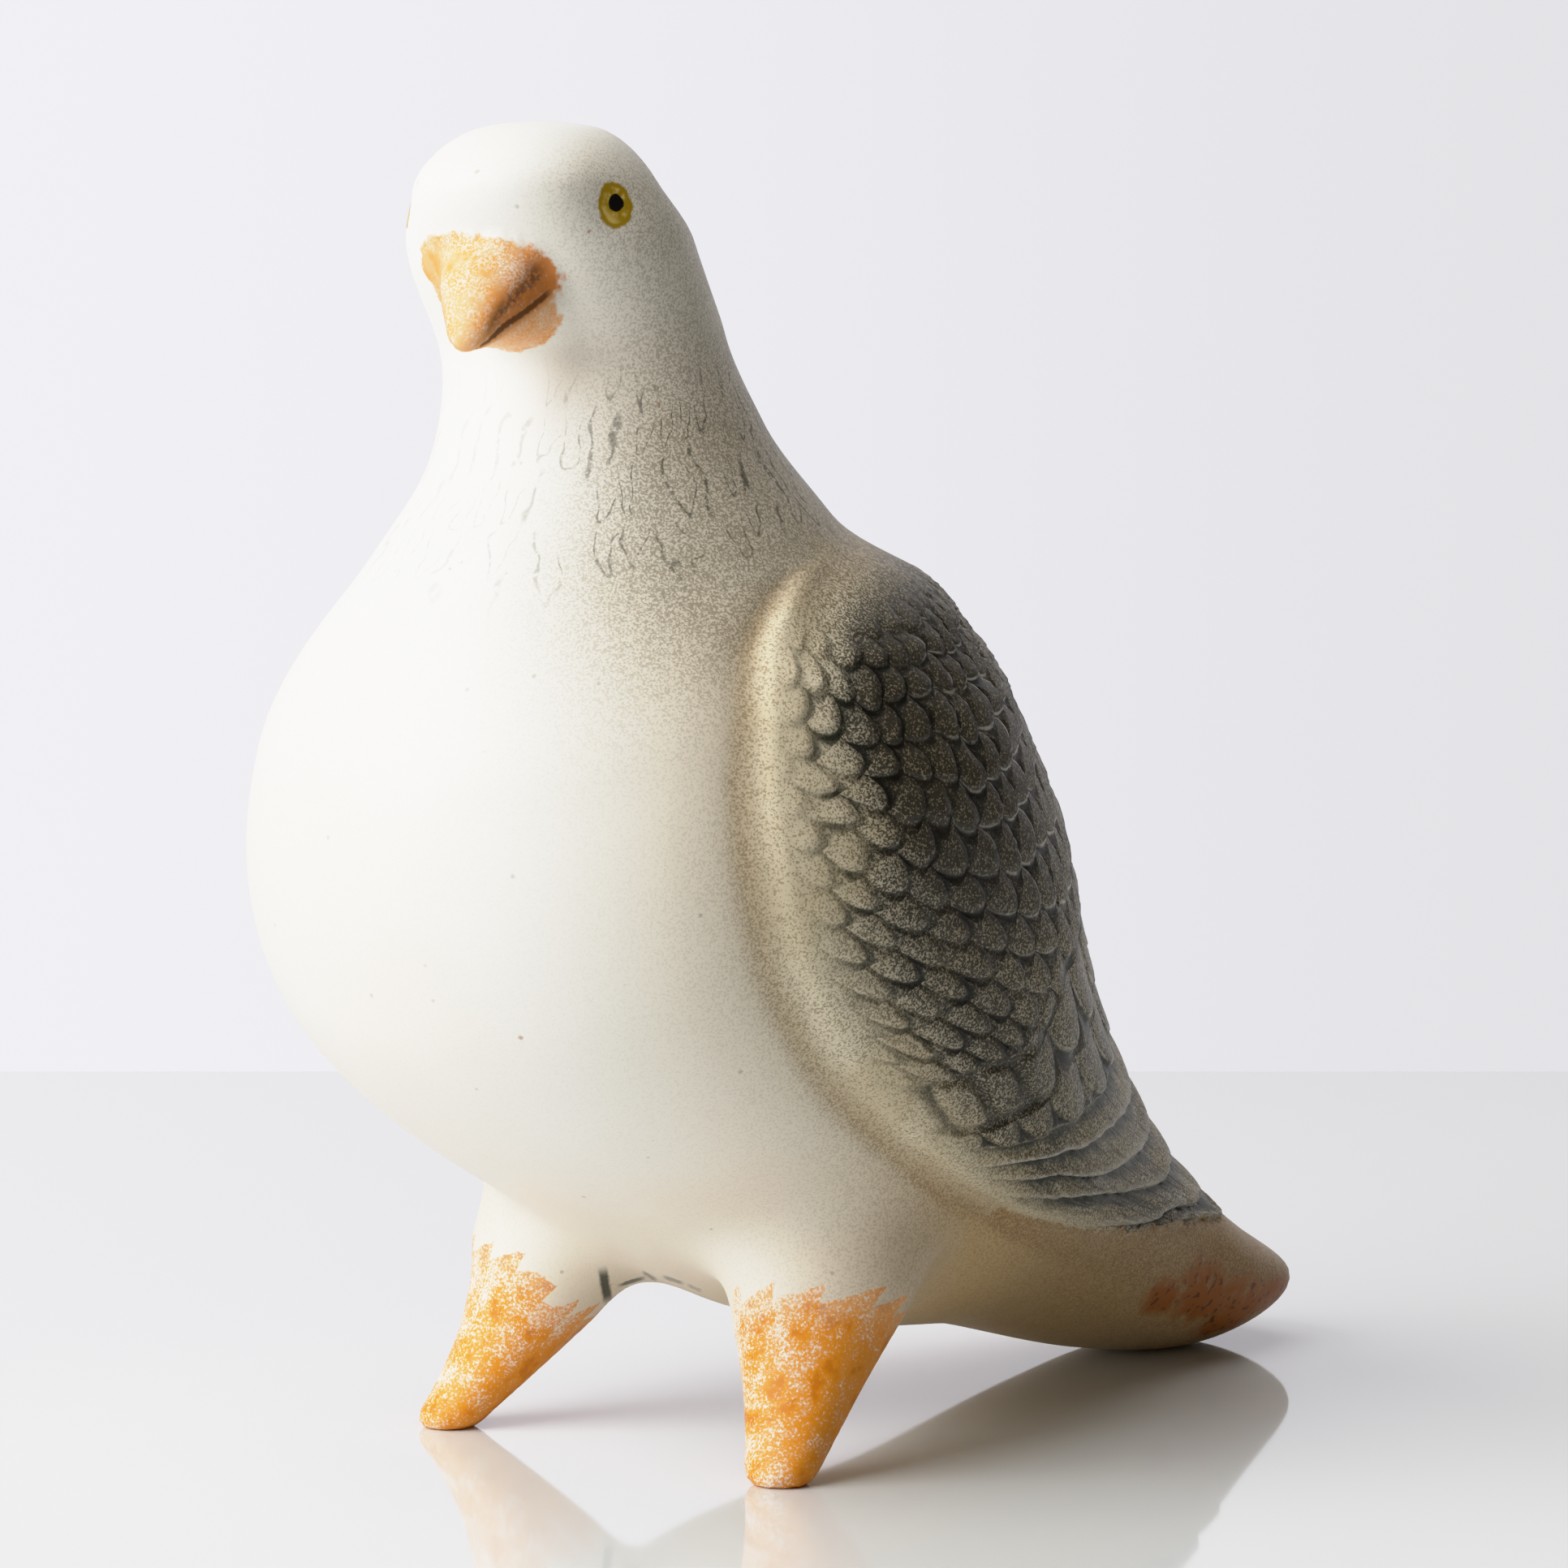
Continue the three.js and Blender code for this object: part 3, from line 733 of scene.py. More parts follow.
@dataclass
class Dove:
    """The whole figure: one ceramic piece with filleted legs and beak, feather relief and glazes."""

    body: Body
    legs: Legs
    beak: Beak
    plumage: Plumage
    voxel: float = 2.15
    # Reach in mm of each fillet and the smoothing turns that round it.
    leg_fillet: float = 15.0
    leg_smoothing: int = 90
    beak_fillet: float = 4.5
    beak_smoothing: int = 10
    # Distance forward and height in mm over which the beak's carving and mouth set in.
    beak_start: tuple[float, float] = (-6.0, -2.0)
    beak_bottom: tuple[float, float] = (205.0, 212.0)
    # Depth in a fillet, as a share, from which points are free to leave the form they belong to.
    free_crease: float = 0.35
    # Shares along the body before and beyond which the poles' rings are too small to fit to.
    pole_shares: tuple[float, float] = (0.002, 0.9988)
    # Share along the body and angle of the eye.
    eye_at: tuple[float, float] = (0.078, 60.0)
    eye_hollow: float = 1.2
    eye_hollow_radius: float = 10.0
    # Rows of the wings, height of the beak's foot and reaches from the eyes that get a finer mesh.
    fine_rows: tuple[float, float] = (0.355, 0.785)
    fine_beak: float = 215.0
    fine_eye: float = 12.0
    finest_eye: float = 9.0
    # Distance in mm round a leg for each degree, and how far out and up its paint can reach.
    arc_per_degree: float = 0.32
    leg_paint_reach: tuple[float, float] = (5.0, 8.0)
    leg_paint_top: float = 60.0
    # Middle in mm across and down the wing, and reach, of the darkest patch of the wash.
    dark_patch: Triple = (45.0, 38.0, 26.0)
    # Share along the body, angle and reach in mm of the rusty places on the tail.
    rust_places: tuple[Triple, ...] = (
        (0.887, 60, 4), (0.912, 67, 7), (0.94, 67, 8), (0.965, 72, 8), (0.94, 54, 6), (0.985, 72, 8))

    def build(self) -> Piece:
        """Makes the dressed figure.

        Returns:
            The finished piece.
        """
        forms = [self.body.build(), self.legs.build(1), self.legs.build(-1), self.beak.build(self.body)]
        self.leg_surfaces = [surface_of(leg) for leg in forms[1:3]]
        self.beak_surface = surface_of(forms[3])
        pick(*forms)
        bpy.ops.object.join()
        piece = bpy.context.object
        piece.name = "glazed_dove"
        piece.data.name = "glazed_dove"
        apply_modifier(piece, "REMESH", mode="VOXEL", voxel_size=self.voxel * MILLIMETRE)
        log.info("joined forms: %d points", len(piece.data.vertices))
        self.fit(piece)
        self.soften(piece)
        self.refine(piece)
        self.fit(piece)
        self.carve(piece)
        self.keep_size(piece)
        pick(piece)
        bpy.ops.object.shade_smooth()
        return piece

    def measure(self, points: Array) -> None:
        """Finds where each point lies on the body, the legs and the beak, and keeps it.

        Args:
            points: Points in mm.
        """
        self.along, self.angle = self.body.coordinates(points)
        on_body = self.body.surface(self.along, self.angle)
        first, last = self.pole_shares
        at_pole = (self.along < first) | (self.along > last)
        on_body[at_pole] = points[at_pole]
        found = [(on_body, np.linalg.norm(on_body - points, axis=1))]
        found += [nearest_on(surface, points) for surface in (*self.leg_surfaces, self.beak_surface)]
        gaps = np.array([gap for _, gap in found])
        nearest = gaps.argmin(0)
        self.on_form = np.array([places for places, _ in found])[nearest, np.arange(len(points))]
        leg_gap = np.minimum(gaps[1], gaps[2])
        self.leg_crease = np.clip(1 - np.maximum(gaps[0], leg_gap) / self.leg_fillet, 0, 1)
        self.beak_crease = np.clip(1 - np.maximum(gaps[0], gaps[3]) / self.beak_fillet, 0, 1)
        self.leg_gap = leg_gap

    def fit(self, piece: Piece) -> None:
        """Puts every point that isn't in a fillet exactly on the form it belongs to.

        Args:
            piece: The remeshed piece.
        """
        points = read_points(piece)
        self.measure(points)
        free = ease(0, self.free_crease, np.maximum(self.leg_crease, self.beak_crease))[:, None]
        write_points(piece, self.on_form * (1 - free) + points * free)

    def soften(self, piece: Piece) -> None:
        """Rounds the creases at the legs and the beak into fillets.

        Args:
            piece: The remeshed piece.
        """
        fillets = (("leg_fillets", self.leg_crease, self.leg_smoothing),
                   ("beak_fillet", self.beak_crease, self.beak_smoothing))
        for name, crease, turns in fillets:
            group = piece.vertex_groups.new(name=name)
            for index in np.flatnonzero(crease > 0):
                group.add([int(index)], float(crease[index]), "REPLACE")
            apply_modifier(piece, "SMOOTH", factor=0.5, iterations=turns, vertex_group=name)
        piece.vertex_groups.clear()

    def refine(self, piece: Piece) -> None:
        """Gives the wings, the eyes and the beak a finer mesh.

        Args:
            piece: The softened piece.
        """
        for radius in (None, self.finest_eye):
            points = read_points(piece)
            along, angle = self.body.coordinates(points)
            row, fraction = self.plumage.places(along, angle)
            eyes = self.eye_distance(points)
            if radius is None:
                first, last = self.fine_rows
                ahead = self.beak.own_frame(self.body, points)[:, 2]
                chosen = (fraction > -0.03) & (row > first) & (row < last) | (eyes < self.fine_eye)
                chosen |= (ahead > -4) & (points[:, 2] > self.fine_beak)
            else:
                chosen = eyes < radius
            pick(piece)
            bpy.ops.object.mode_set(mode="EDIT")
            bpy.ops.mesh.select_mode(type="FACE")
            bpy.ops.mesh.select_all(action="DESELECT")
            bpy.ops.object.mode_set(mode="OBJECT")
            faces = piece.data.polygons
            faces.foreach_set("select", [bool(chosen[list(face.vertices)].all()) for face in faces])
            bpy.ops.object.mode_set(mode="EDIT")
            bpy.ops.mesh.subdivide(number_cuts=1, smoothness=0)
            bpy.ops.object.mode_set(mode="OBJECT")
        log.info("refined piece: %d points", len(piece.data.vertices))

    def eye_centres(self) -> Array:
        """Gives the middles of both eyes' hollows, in mm."""
        along, angle = self.eye_at
        return self.body.surface(np.array([along, along]), np.array([angle, -angle]))

    def eye_distance(self, points: Array) -> Array:
        """Gives each point's distance in mm to the nearer eye."""
        return np.min([np.linalg.norm(points - centre, axis=1) for centre in self.eye_centres()], axis=0)

    def carve(self, piece: Piece) -> None:
        """Raises the feathers, hollows the eyes and cuts the mouth, and stores the pattern coordinates.

        Args:
            piece: The refined piece.
        """
        points, normals = read_points(piece), read_vectors(piece.data.vertex_normals, "vector")
        maps = self.plumage.maps(self.along, self.angle)
        height = self.plumage.relief(maps)
        height -= self.eye_hollow * np.exp(-2 * (self.eye_distance(points) / self.eye_hollow_radius) ** 2)
        beak = self.beak.own_frame(self.body, points)
        cut, over_mouth, to_ridge = self.beak.carving(beak)
        on_beak = ease(*self.beak_start, beak[:, 2]) * ease(*self.beak_bottom, points[:, 2])
        height -= cut * on_beak
        points = points + normals * height[:, None]
        points[:, 2] = np.maximum(points[:, 2], 0)
        write_points(piece, points)
        turn = self.legs.around(points)
        inward = -turn * np.sign(points[:, 0])
        over_border = points[:, 2] - Curve(*zip(*self.legs.paint_border))(inward)
        on_leg = (1 - ease(*self.leg_paint_reach, self.leg_gap)) * (points[:, 2] < self.leg_paint_top)
        stored = {
            "scales": (maps["scale_p"], maps["scale_q"], maps["texture"]),
            "leaves": (maps["leaf_p"], maps["leaf_q"], maps["is_leaf"]),
            "stamps": (maps["leaf"], maps["leaf_q"], maps["stamped"]),
            "tiers": (maps["tier"], maps["across"], maps["down"]),
            "wing": (maps["painted"], maps["is_tier"], self.wash(maps)),
            "beak": beak.T,
            "mouth": (over_mouth, to_ridge, on_beak),
            "legs": (over_border, turn * self.arc_per_degree, on_leg),
            "flow": (self.angle, self.along * BODY_LENGTH, np.zeros(len(points))),
            "tints": self.tints(maps),
        }
        for name, values in stored.items():
            attribute = piece.data.attributes.new(name, "FLOAT_VECTOR", "POINT")
            attribute.data.foreach_set("vector", np.stack(values, -1).astype(np.float32).ravel())

    def keep_size(self, piece: Piece) -> None:
        """Draws the finished form in by the fraction of a millimetre that keeps the solid's size.

        Args:
            piece: The carved piece.
        """
        low, high = (np.array(corner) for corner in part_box("dove"))
        points = placed(read_points(piece))
        own_low, own_high = points.min(0), points.max(0)
        share = np.minimum((high - low) / (own_high - own_low), 1)
        points = low + (high - low) / 2 + (points - (own_low + own_high) / 2) * share
        points[:, 2] -= points[:, 2].min() - low[2]
        write_points(piece, points / MILLIMETRE + ORIGIN)

    def wash(self, maps: dict[str, Array]) -> Array:
        """Gives the darkness of the thin wash over the wings, from 0 to 1."""
        across, down = maps["across"], maps["down"]
        patch_across, patch_down, reach = self.dark_patch
        patch = bump(np.hypot((across - patch_across) * 0.9, (down - patch_down) * 0.8), reach)
        depth = ease(8, 35, across) * (0.5 + 0.9 * patch) * ease(8, 36, down + across * 0.2)
        depth = depth + 0.35 * ease(50, 85, down) * ease(0, 10, across) * (1 - ease(14, 40, across))
        return np.clip(depth * (1 - 0.4 * maps["is_tier"]), 0, 1)

    def tints(self, maps: dict[str, Array]) -> tuple[Array, Array, Array]:
        """Gives how much brown speckle, warm tone and rust each point has, from 0 to 1. The speckle and the
        warm tone are partly painted shade over the side of the head and neck that faces away from the light.
        """
        side = np.abs(self.angle)
        ahead = np.maximum(-maps["across"], 0)
        # Speckle in front of the wings, over the turned side of the neck, and at the rear. Over the turned
        # side, which faces away from the light, it is partly painted shade.
        beside_wing = np.maximum(0.66 * np.exp(-ahead / 13), 0.95 * bump(ahead - 3, 5))
        beside_wing = beside_wing * ease(0.3, 0.36, maps["row"])
        neck = 1 - ease(0.3, 0.42, self.along)
        turned = np.where(self.angle > 0, ease(16 - 10 * neck, 84 - 14 * neck, side), ease(60, 110, side))
        turned = turned * ease(0.01, 0.07, self.along)
        collar = (0.62 + 0.48 * ease(0.13, 0.26, self.along)) * turned
        collar = collar * (1 - 0.86 * ease(0.34, 0.46, self.along))
        rear = 0.28 * ease(0.58, 0.7, self.along) * ease(10, 50, side) + 0.35 * ease(0.72, 0.82, self.along)
        dust_and_shade = np.clip(np.maximum(beside_wing, collar) + rear, 0, 1)
        warm = 0.5 * beside_wing + ease(0.6, 0.8, self.along) * (1 - 0.45 * ease(95, 130, side))
        # Painted shade: a warm tone over the side of the head and neck that faces away from the light.
        warm = np.clip(warm + (0.15 + 0.2 * ease(0.25, 0.36, self.along)) * turned, 0, 1)
        rust = np.zeros(len(side))
        for along, angle, reach in self.rust_places:
            gap = np.hypot((self.along - along) * BODY_LENGTH * 0.7, (side - angle) * 0.36)
            rust = np.maximum(rust, bump(gap, reach))
        return dust_and_shade, warm, rust


def tone(red: int, green: int, blue: int) -> tuple[float, float, float, float]:
    """Turns a screen colour of 0 to 255 into the linear colour that a shader takes."""
    shares = (channel / 255 for channel in (red, green, blue))
    return (*(s / 12.92 if s <= 0.04045 else ((s + 0.055) / 1.055) ** 2.4 for s in shares), 1.0)


def math_method(operation: str) -> Callable[..., "Signal"]:
    """Makes a method that adds a math node, which reads the value itself before the method's values."""
    return lambda value, *others: value.board.math(operation, value, *others)


class Signal:
    """A shader value or vector. Arithmetic on it adds the nodes that work it out."""

    __add__ = math_method("ADD")
    __sub__ = math_method("SUBTRACT")
    __mul__ = math_method("MULTIPLY")
    __truediv__ = math_method("DIVIDE")
    __pow__ = math_method("POWER")
    __abs__ = math_method("ABSOLUTE")
    root = math_method("SQRT")
    sine = math_method("SINE")
    whole = math_method("FLOOR")
    fraction = math_method("FRACT")
    modulo = math_method("FLOORED_MODULO")
    below = math_method("LESS_THAN")
    # The larger of two values, which also joins two masks. Multiplying narrows one by the other.
    max = math_method("MAXIMUM")

    def __init__(self, board: "Board", socket: Socket) -> None:
        """Keeps the node output that carries the value."""
        self.board = board
        self.socket = socket

    def __rsub__(self, other: float) -> "Signal":
        """Subtracts this value from a number."""
        return self.board.math("SUBTRACT", other, self)

    def rise(self, low: float, high: float) -> "Signal":
        """Rises smoothly from 0 at low to 1 at high.

        Args:
            low: Where the rise starts.
            high: Where it ends. Below low, the result falls instead.

        Returns:
            The share risen.
        """
        falls = high < low
        ends = {"From Min": min(low, high), "From Max": max(low, high),
                "To Min": float(falls), "To Max": float(not falls)}
        return self.board.out("MapRange", {"Value": self, **ends}, interpolation_type="SMOOTHSTEP")

    def near(self, middle: float, width: float) -> "Signal":
        """Gives a band that is 1 at the middle and 0 past its width."""
        return abs(self - middle).rise(width, width * 0.4)

    def noise(self, scale: float, detail: float = 2.0, rough: float = 0.5) -> "Signal":
        """Reads cloudy noise around one half, with some octaves of finer clouds of a given strength."""
        settings = {"Vector": self, "Scale": scale, "Detail": detail, "Roughness": rough}
        return self.board.out("TexNoise", settings)

    def channels(self) -> list["Signal"]:
        """Splits a colour into its three channels."""
        return self.board.outs("SeparateColor", {0: self})

    def parts(self) -> list["Signal"]:
        """Splits a vector into its three components."""
        return self.board.outs("SeparateXYZ", {0: self})

    def cells(self, scale: float) -> tuple["Signal", "Signal"]:
        """Splits space into random cells, and gives each one's lot and the distance from its middle."""
        distance, colour, _ = self.board.outs("TexVoronoi", {"Vector": self, "Scale": scale})
        return colour.channels()[0], distance

    def off(self, middle: Sequence[float]) -> "Signal":
        """Measures this place from another one."""
        return self.board.out("VectorMath", {0: self, 1: tuple(middle)}, operation="SUBTRACT")

    def along(self, axis: Sequence[float]) -> "Signal":
        """Measures how far this place lies along an axis."""
        return self.board.out("VectorMath", {0: self, 1: tuple(axis)}, "Value", operation="DOT_PRODUCT")

    def length(self) -> "Signal":
        """Gives the length of this vector."""
        return self.board.out("VectorMath", {0: self}, "Value", operation="LENGTH")


Value = Union[float, Signal]
Inputs = dict[Union[int, str], object]


class Board:
    """Adds shader nodes with few words."""

    def __init__(self, tree: bpy.types.NodeTree) -> None:
        """Starts on a node tree."""
        self.tree = tree

    def node(self, kind: str, values: Inputs, **settings: object) -> bpy.types.Node:
        """Adds a node.

        Args:
            kind: The node's type, without its prefix.
            values: Inputs by name or number, each a signal to link or a plain value.
            **settings: The node's own properties.

        Returns:
            The new node.
        """
        node = self.tree.nodes.new("ShaderNode" + kind)
        for name, setting in settings.items():
            setattr(node, name, setting)
        self.feed(node, values)
        return node

    def feed(self, node: bpy.types.Node, values: Inputs) -> None:
        """Links the signals among some values to a node's inputs, and sets the plain ones there."""
        for name, value in values.items():
            if isinstance(value, Signal):
                self.tree.links.new(value.socket, node.inputs[name])
            else:
                node.inputs[name].default_value = value

    def out(self, kind: str, values: Optional[Inputs] = None, output: Union[int, str] = 0,
            **settings: object) -> Signal:
        """Adds a node and gives one of its outputs."""
        return Signal(self, self.node(kind, values or {}, **settings).outputs[output])

    def outs(self, kind: str, values: Inputs) -> list[Signal]:
        """Adds a node and gives its first three outputs."""
        return [Signal(self, output) for output in self.node(kind, values).outputs[:3]]

    def math(self, operation: str, *values: Value) -> Signal:
        """Adds a math node."""
        return self.out("Math", dict(enumerate(values)), operation=operation)

    def mix(self, share: Value, base: object, top: object) -> Signal:
        """Lays one colour over another.

        Args:
            share: How much of the top colour covers the base.
            base: The colour below, a signal, a linear colour or a screen colour.
            top: The colour above.

        Returns:
            The mixed colour.
        """
        sides = (tone(*side) if isinstance(side, tuple) and len(side) == 3 else side for side in (base, top))
        return self.out("Mix", {0: share, **dict(zip((6, 7), sides))}, 2, data_type="RGBA")

    def lay(self, base: object, *layers: tuple[Value, object]) -> Signal:
        """Lays colours over a base in turn, each where its mask is."""
        for mask, colour in layers:
            base = self.mix(mask, base, colour)
        return base

    def vector(self, *parts: Value) -> Signal:
        """Joins up to three components into a vector."""
        return self.out("CombineXYZ", dict(enumerate(parts)))

    def stored(self, name: str) -> list[Signal]:
        """Reads the three components of an attribute of the piece."""
        return self.out("Attribute", {}, "Vector", attribute_name=name).parts()


def new_material(name: str) -> tuple[bpy.types.Material, Board, bpy.types.Node]:
    """Starts a material and gives it with its board and its surface shader."""
    material = bpy.data.materials.new(name)
    material.use_nodes = True
    return material, Board(material.node_tree), material.node_tree.nodes["Principled BSDF"]


@dataclass(frozen=True)
class GlazeTones:
    """The colours of the glazes, as screen colours."""

    white: Tone = (245, 242, 233)
    cream: Tone = (226, 216, 192)
    peach: Tone = (240, 214, 190)
    speck: Tone = (108, 96, 68)
    brown: Tone = (124, 88, 44)
    wing: Tone = (208, 195, 166)
    sand: Tone = (168, 150, 114)
    fleck: Tone = (118, 102, 70)
    leopard: Tone = (22, 18, 10)
    groove: Tone = (40, 46, 34)
    pit: Tone = (16, 15, 10)
    rim: Tone = (210, 204, 194)
    wash: Tone = (54, 44, 26)
    tail: Tone = (212, 178, 116)
    rust: Tone = (166, 92, 0)
    orange: Tone = (234, 148, 30)
    apricot: Tone = (232, 152, 60)
    peach_orange: Tone = (228, 168, 108)
    deep_orange: Tone = (206, 116, 10)
    umber: Tone = (84, 48, 10)
    olive: Tone = (160, 128, 14)
    straw: Tone = (206, 178, 96)
    black: Tone = (6, 6, 6)
    ink: Tone = (46, 52, 42)
    blemish: Tone = (150, 84, 48)


class DoveGlaze:
    """The one glazed and painted finish of the figure."""

    # Middle of the belly between the legs in mm, the directions across and up the dabs, and the way
    # the belly faces where they are.
    dab_middle: Triple = (2.0, 10.0, 40.0)
    dab_across: Triple = (0.731, 0.683, 0.0)
    dab_up: Triple = (-0.108, 0.115, 0.988)
    dab_facing: Triple = (0.674, -0.722, 0.157)
    # Place across, place up, half length, half width, lean and strength of each dab, in mm and degrees.
    dabs: Table = (
        (-9.9, -6.4, 4.6, 1.35, -81, 1.0), (-4.4, -5.5, 3.6, 0.5, 17, 0.9), (-0.7, -4.4, 2.2, 0.5, -32, 0.65),
        (4.2, -5.2, 2.8, 0.5, -20, 0.65), (8.6, -6.9, 2.1, 0.4, -27, 0.4))
    # Place in mm, radius in mm and strength of each small blemish of the fired glaze.
    blemishes: Table = (
        (8.0, -46.1, 259.5, 0.7, 0.45), (23.8, -30.8, 247.7, 0.5, 0.8), (27.6, -20.2, 247.7, 0.4, 0.6),
        (27.0, -14.5, 214.0, 0.5, 0.7), (1.7, -47.7, 182.3, 0.5, 0.5), (30.6, -57.7, 93.2, 0.5, 0.6))
    # Length in mm of a row of collar ticks and its width in degrees.
    tick_row: float = 17.0
    tick_column: float = 9.0
    # Half width, half height, middle and roundness of the beak's painted patch, in mm.
    patch_half_width: float = 14.9
    patch_half_height: float = 13.7
    patch_middle: tuple[float, float] = (-2.7, 213.3)
    patch_power: float = 2.4
    # Width and height in mm of the teeth of the legs' painted border.
    tooth_width: float = 9.0
    tooth_height: float = 4.2
    # The left eye's middle, a place behind it and a place above it, before the head is turned, in mm.
    eye_points: Table = ((22.53, -32.3, 252.9), (24.5, -29.0, 252.9), (22.0, -32.0, 256.9))
    far_eye_back: float = 4.0
    # Half length and half height of the eye's ring in metres, and the same of the pupil as shares of it.
    eye_half: tuple[float, float] = (0.0039, 0.00445)
    pupil_half: tuple[float, float] = (0.47, 0.39)

    def __init__(self, dove: Dove, tones: GlazeTones = GlazeTones()) -> None:
        """Starts the finish of the figure whose places the paint follows."""
        self.dove = dove
        self.tones = tones
        self.material, self.board, self.shader = new_material("dove_glaze")
        self.place = self.board.out("TexCoord", output="Object")
        lot, _ = self.place.cells(3000.0)
        # The fine grain of the sprayed speckle, around one half.
        self.grain = self.place.noise(1900.0, 1.0) * 0.55 + (lot * 0.26 + 0.095)

    def scales(self, p: Signal, q: Signal) -> tuple[Signal, Signal, Signal]:
        """Finds the parts of round-tipped scales.

        Args:
            p: Rows, counted towards the tips.
            q: Columns.

        Returns:
            The rim mask, the groove mask and the height of the pillow.
        """
        odd = p.whole().modulo(2.0)
        beside = (odd * 0.5 + q).fraction() - 0.5
        far = p.fraction() / self.dove.plumage.tip_reach
        away = (far * far + beside * beside * 4.0).root()
        rim = abs(away - 0.94).rise(0.08, 0.02)
        return rim, away.rise(0.92, 1.02) * away.rise(1.6, 1.1), away.rise(1.02, 0.7).max(away.rise(1.0, 1.5))

    def plumage(self, coat: Signal) -> tuple[Signal, Signal]:
        """Paints the wings.

        Args:
            coat: The colour below.

        Returns:
            The colour, and the height of the fine relief in mm.
        """
        board, place, t = self.board, self.place, self.tones
        scale_p, scale_q, textured = board.stored("scales")
        leaf_p, leaf_q, on_leaf = board.stored("leaves")
        stamp_p, stamp_q, stamped = board.stored("stamps")
        tier, across, down = board.stored("tiers")
        on_wing, on_tier, wash = board.stored("wing")
        # Scales above, pointed leaves below them.
        on_scale, leaf = (textured * (1.0 - on_tier) * mask for mask in (1.0 - on_leaf, on_leaf))
        rim, groove, pillow = (
            (of_scale * on_scale + of_leaf * leaf) * (1.0 - stamped)
            for of_scale, of_leaf in zip(self.scales(scale_p, scale_q), self.scales(leaf_p, leaf_q)))
        # Stamped leaves near the front edge, with rounded corners.
        aside = abs((stamp_q + 0.5).fraction() - 0.5) * 2.0
        ends = (stamp_p * 2.0 - 1.0).max(stamp_p * -1.6 + 0.8)
        away = (aside ** 4.0 + ends ** 4.0) ** 0.25
        # Pale rims only towards the back of the wing: partly glaze thinned on the edges, partly a painted
        # highlight where the edges catch the light.
        rim = rim * across.rise(30.0, 75.0)
        groove = groove.max(stamped * away.rise(0.72, 0.92) * 0.75)
        pillow = pillow.max(stamped * away.rise(0.88, 0.5))
        # Tiers of long feathers, each with a dark root, a pale crest and fine strands.
        part = tier.fraction()
        feathered = on_tier * on_wing * across.rise(4.0, 24.0)
        smudge = board.vector(across, down * 0.5, tier).noise(0.16)
        root = feathered * (smudge * 0.9 + part).rise(0.95, 0.55)
        foot = feathered * part.rise(0.22, 0.06)
        crest = feathered * part.rise(0.6, 0.88)
        ledge = feathered * part.rise(0.3, 0.9) * part.rise(1.0, 0.93)
        hatch = feathered * board.vector(across, down * 0.16).noise(0.5, 3.0, 0.6).rise(0.5, 0.64)
        # Speckle, denser where the wash is deeper and thinner on the front lip.
        lip = across.rise(18.0, 2.0)
        cloud = place.noise(45.0)
        depth = wash + (cloud - 0.5) * 0.5
        spotted = (self.grain + depth * 0.15 - pillow * 0.03 - lip * 0.05).rise(0.44, 0.6)
        spot = board.mix(lip * 0.75, board.mix(depth.rise(0.05, 0.5), t.fleck, t.leopard), t.sand)
        gap = board.mix(depth.rise(0.2, 0.7), t.groove, t.pit)
        broken = place.noise(260.0).rise(0.38, 0.55)
        soft = place.noise(120.0).rise(0.25, 0.6)
        base = board.lay(
            t.wing, (cloud.rise(0.35, 0.7), t.cream), (depth.rise(0.05, 0.9) * 0.66, t.wash),
            (spotted * 0.85, spot), (root * 0.75, t.groove), (hatch * 0.45, t.groove),
            (rim * broken * 0.85, t.rim), (crest * 0.5, t.rim), (groove.max(foot) * soft * 0.95, gap))
        height = pillow * 0.7 + rim * 0.15 + ledge * 0.8 - hatch * 0.2
        return board.mix(on_wing, coat, base), height * on_wing

    def coat(self) -> Signal:
        """Paints the white body glaze with its blushes, speckle, collar, rust and warm tail, and painted
        shade in the speckle and warm tone on the side of the head and neck away from the light.
        """
        board, place, t = self.board, self.place, self.tones
        dust_and_shade, warm, rust = board.stored("tints")
        angle, run, _ = board.stored("flow")
        # A pale blush on the breast, speckle that is partly painted shade, and rust with its grain and pits.
        blush = angle.near(-35.0, 60.0) * run.near(215.0, 80.0) * 0.25
        speck = board.mix(warm.rise(0.4, 1.0), t.speck, t.brown)
        fine = (dust_and_shade * 0.1 + self.grain).rise(0.5, 0.66) * (dust_and_shade * 0.58 + 0.05)
        rusty = (rust * (place.noise(190.0, 3.0, 0.65) * 1.6 - 0.15)).rise(0.06, 0.6)
        lot, from_middle = place.cells(260.0)
        dots = lot.below(0.06) * from_middle.rise(0.16, 0.08)
        coat = board.lay(
            t.white, (place.noise(16.0).rise(0.5, 0.75) * 0.25, t.peach), (blush, t.peach),
            (warm * 0.85, t.tail), (dust_and_shade * 0.37, speck), (fine, speck),
            (rusty * (1.0 - self.grain.rise(0.46, 0.58) * 0.15), t.rust),
            (rusty * place.noise(520.0).rise(0.57, 0.64) * 0.8, t.umber),
            (dots * 0.35, t.speck), (self.ticks(angle, run) * 0.7, t.groove))
        # Small blemishes with a ragged edge.
        ragged = place.noise(1200.0) * 0.0006
        for x, y, z, radius, strength in self.blemishes:
            gap = place.off(placed(np.array([x, y, z]))).length() + ragged
            spot = gap.rise((radius + 0.45) * MILLIMETRE, (radius + 0.05) * MILLIMETRE)
            coat = board.mix(spot * strength, coat, t.blemish)
        return coat

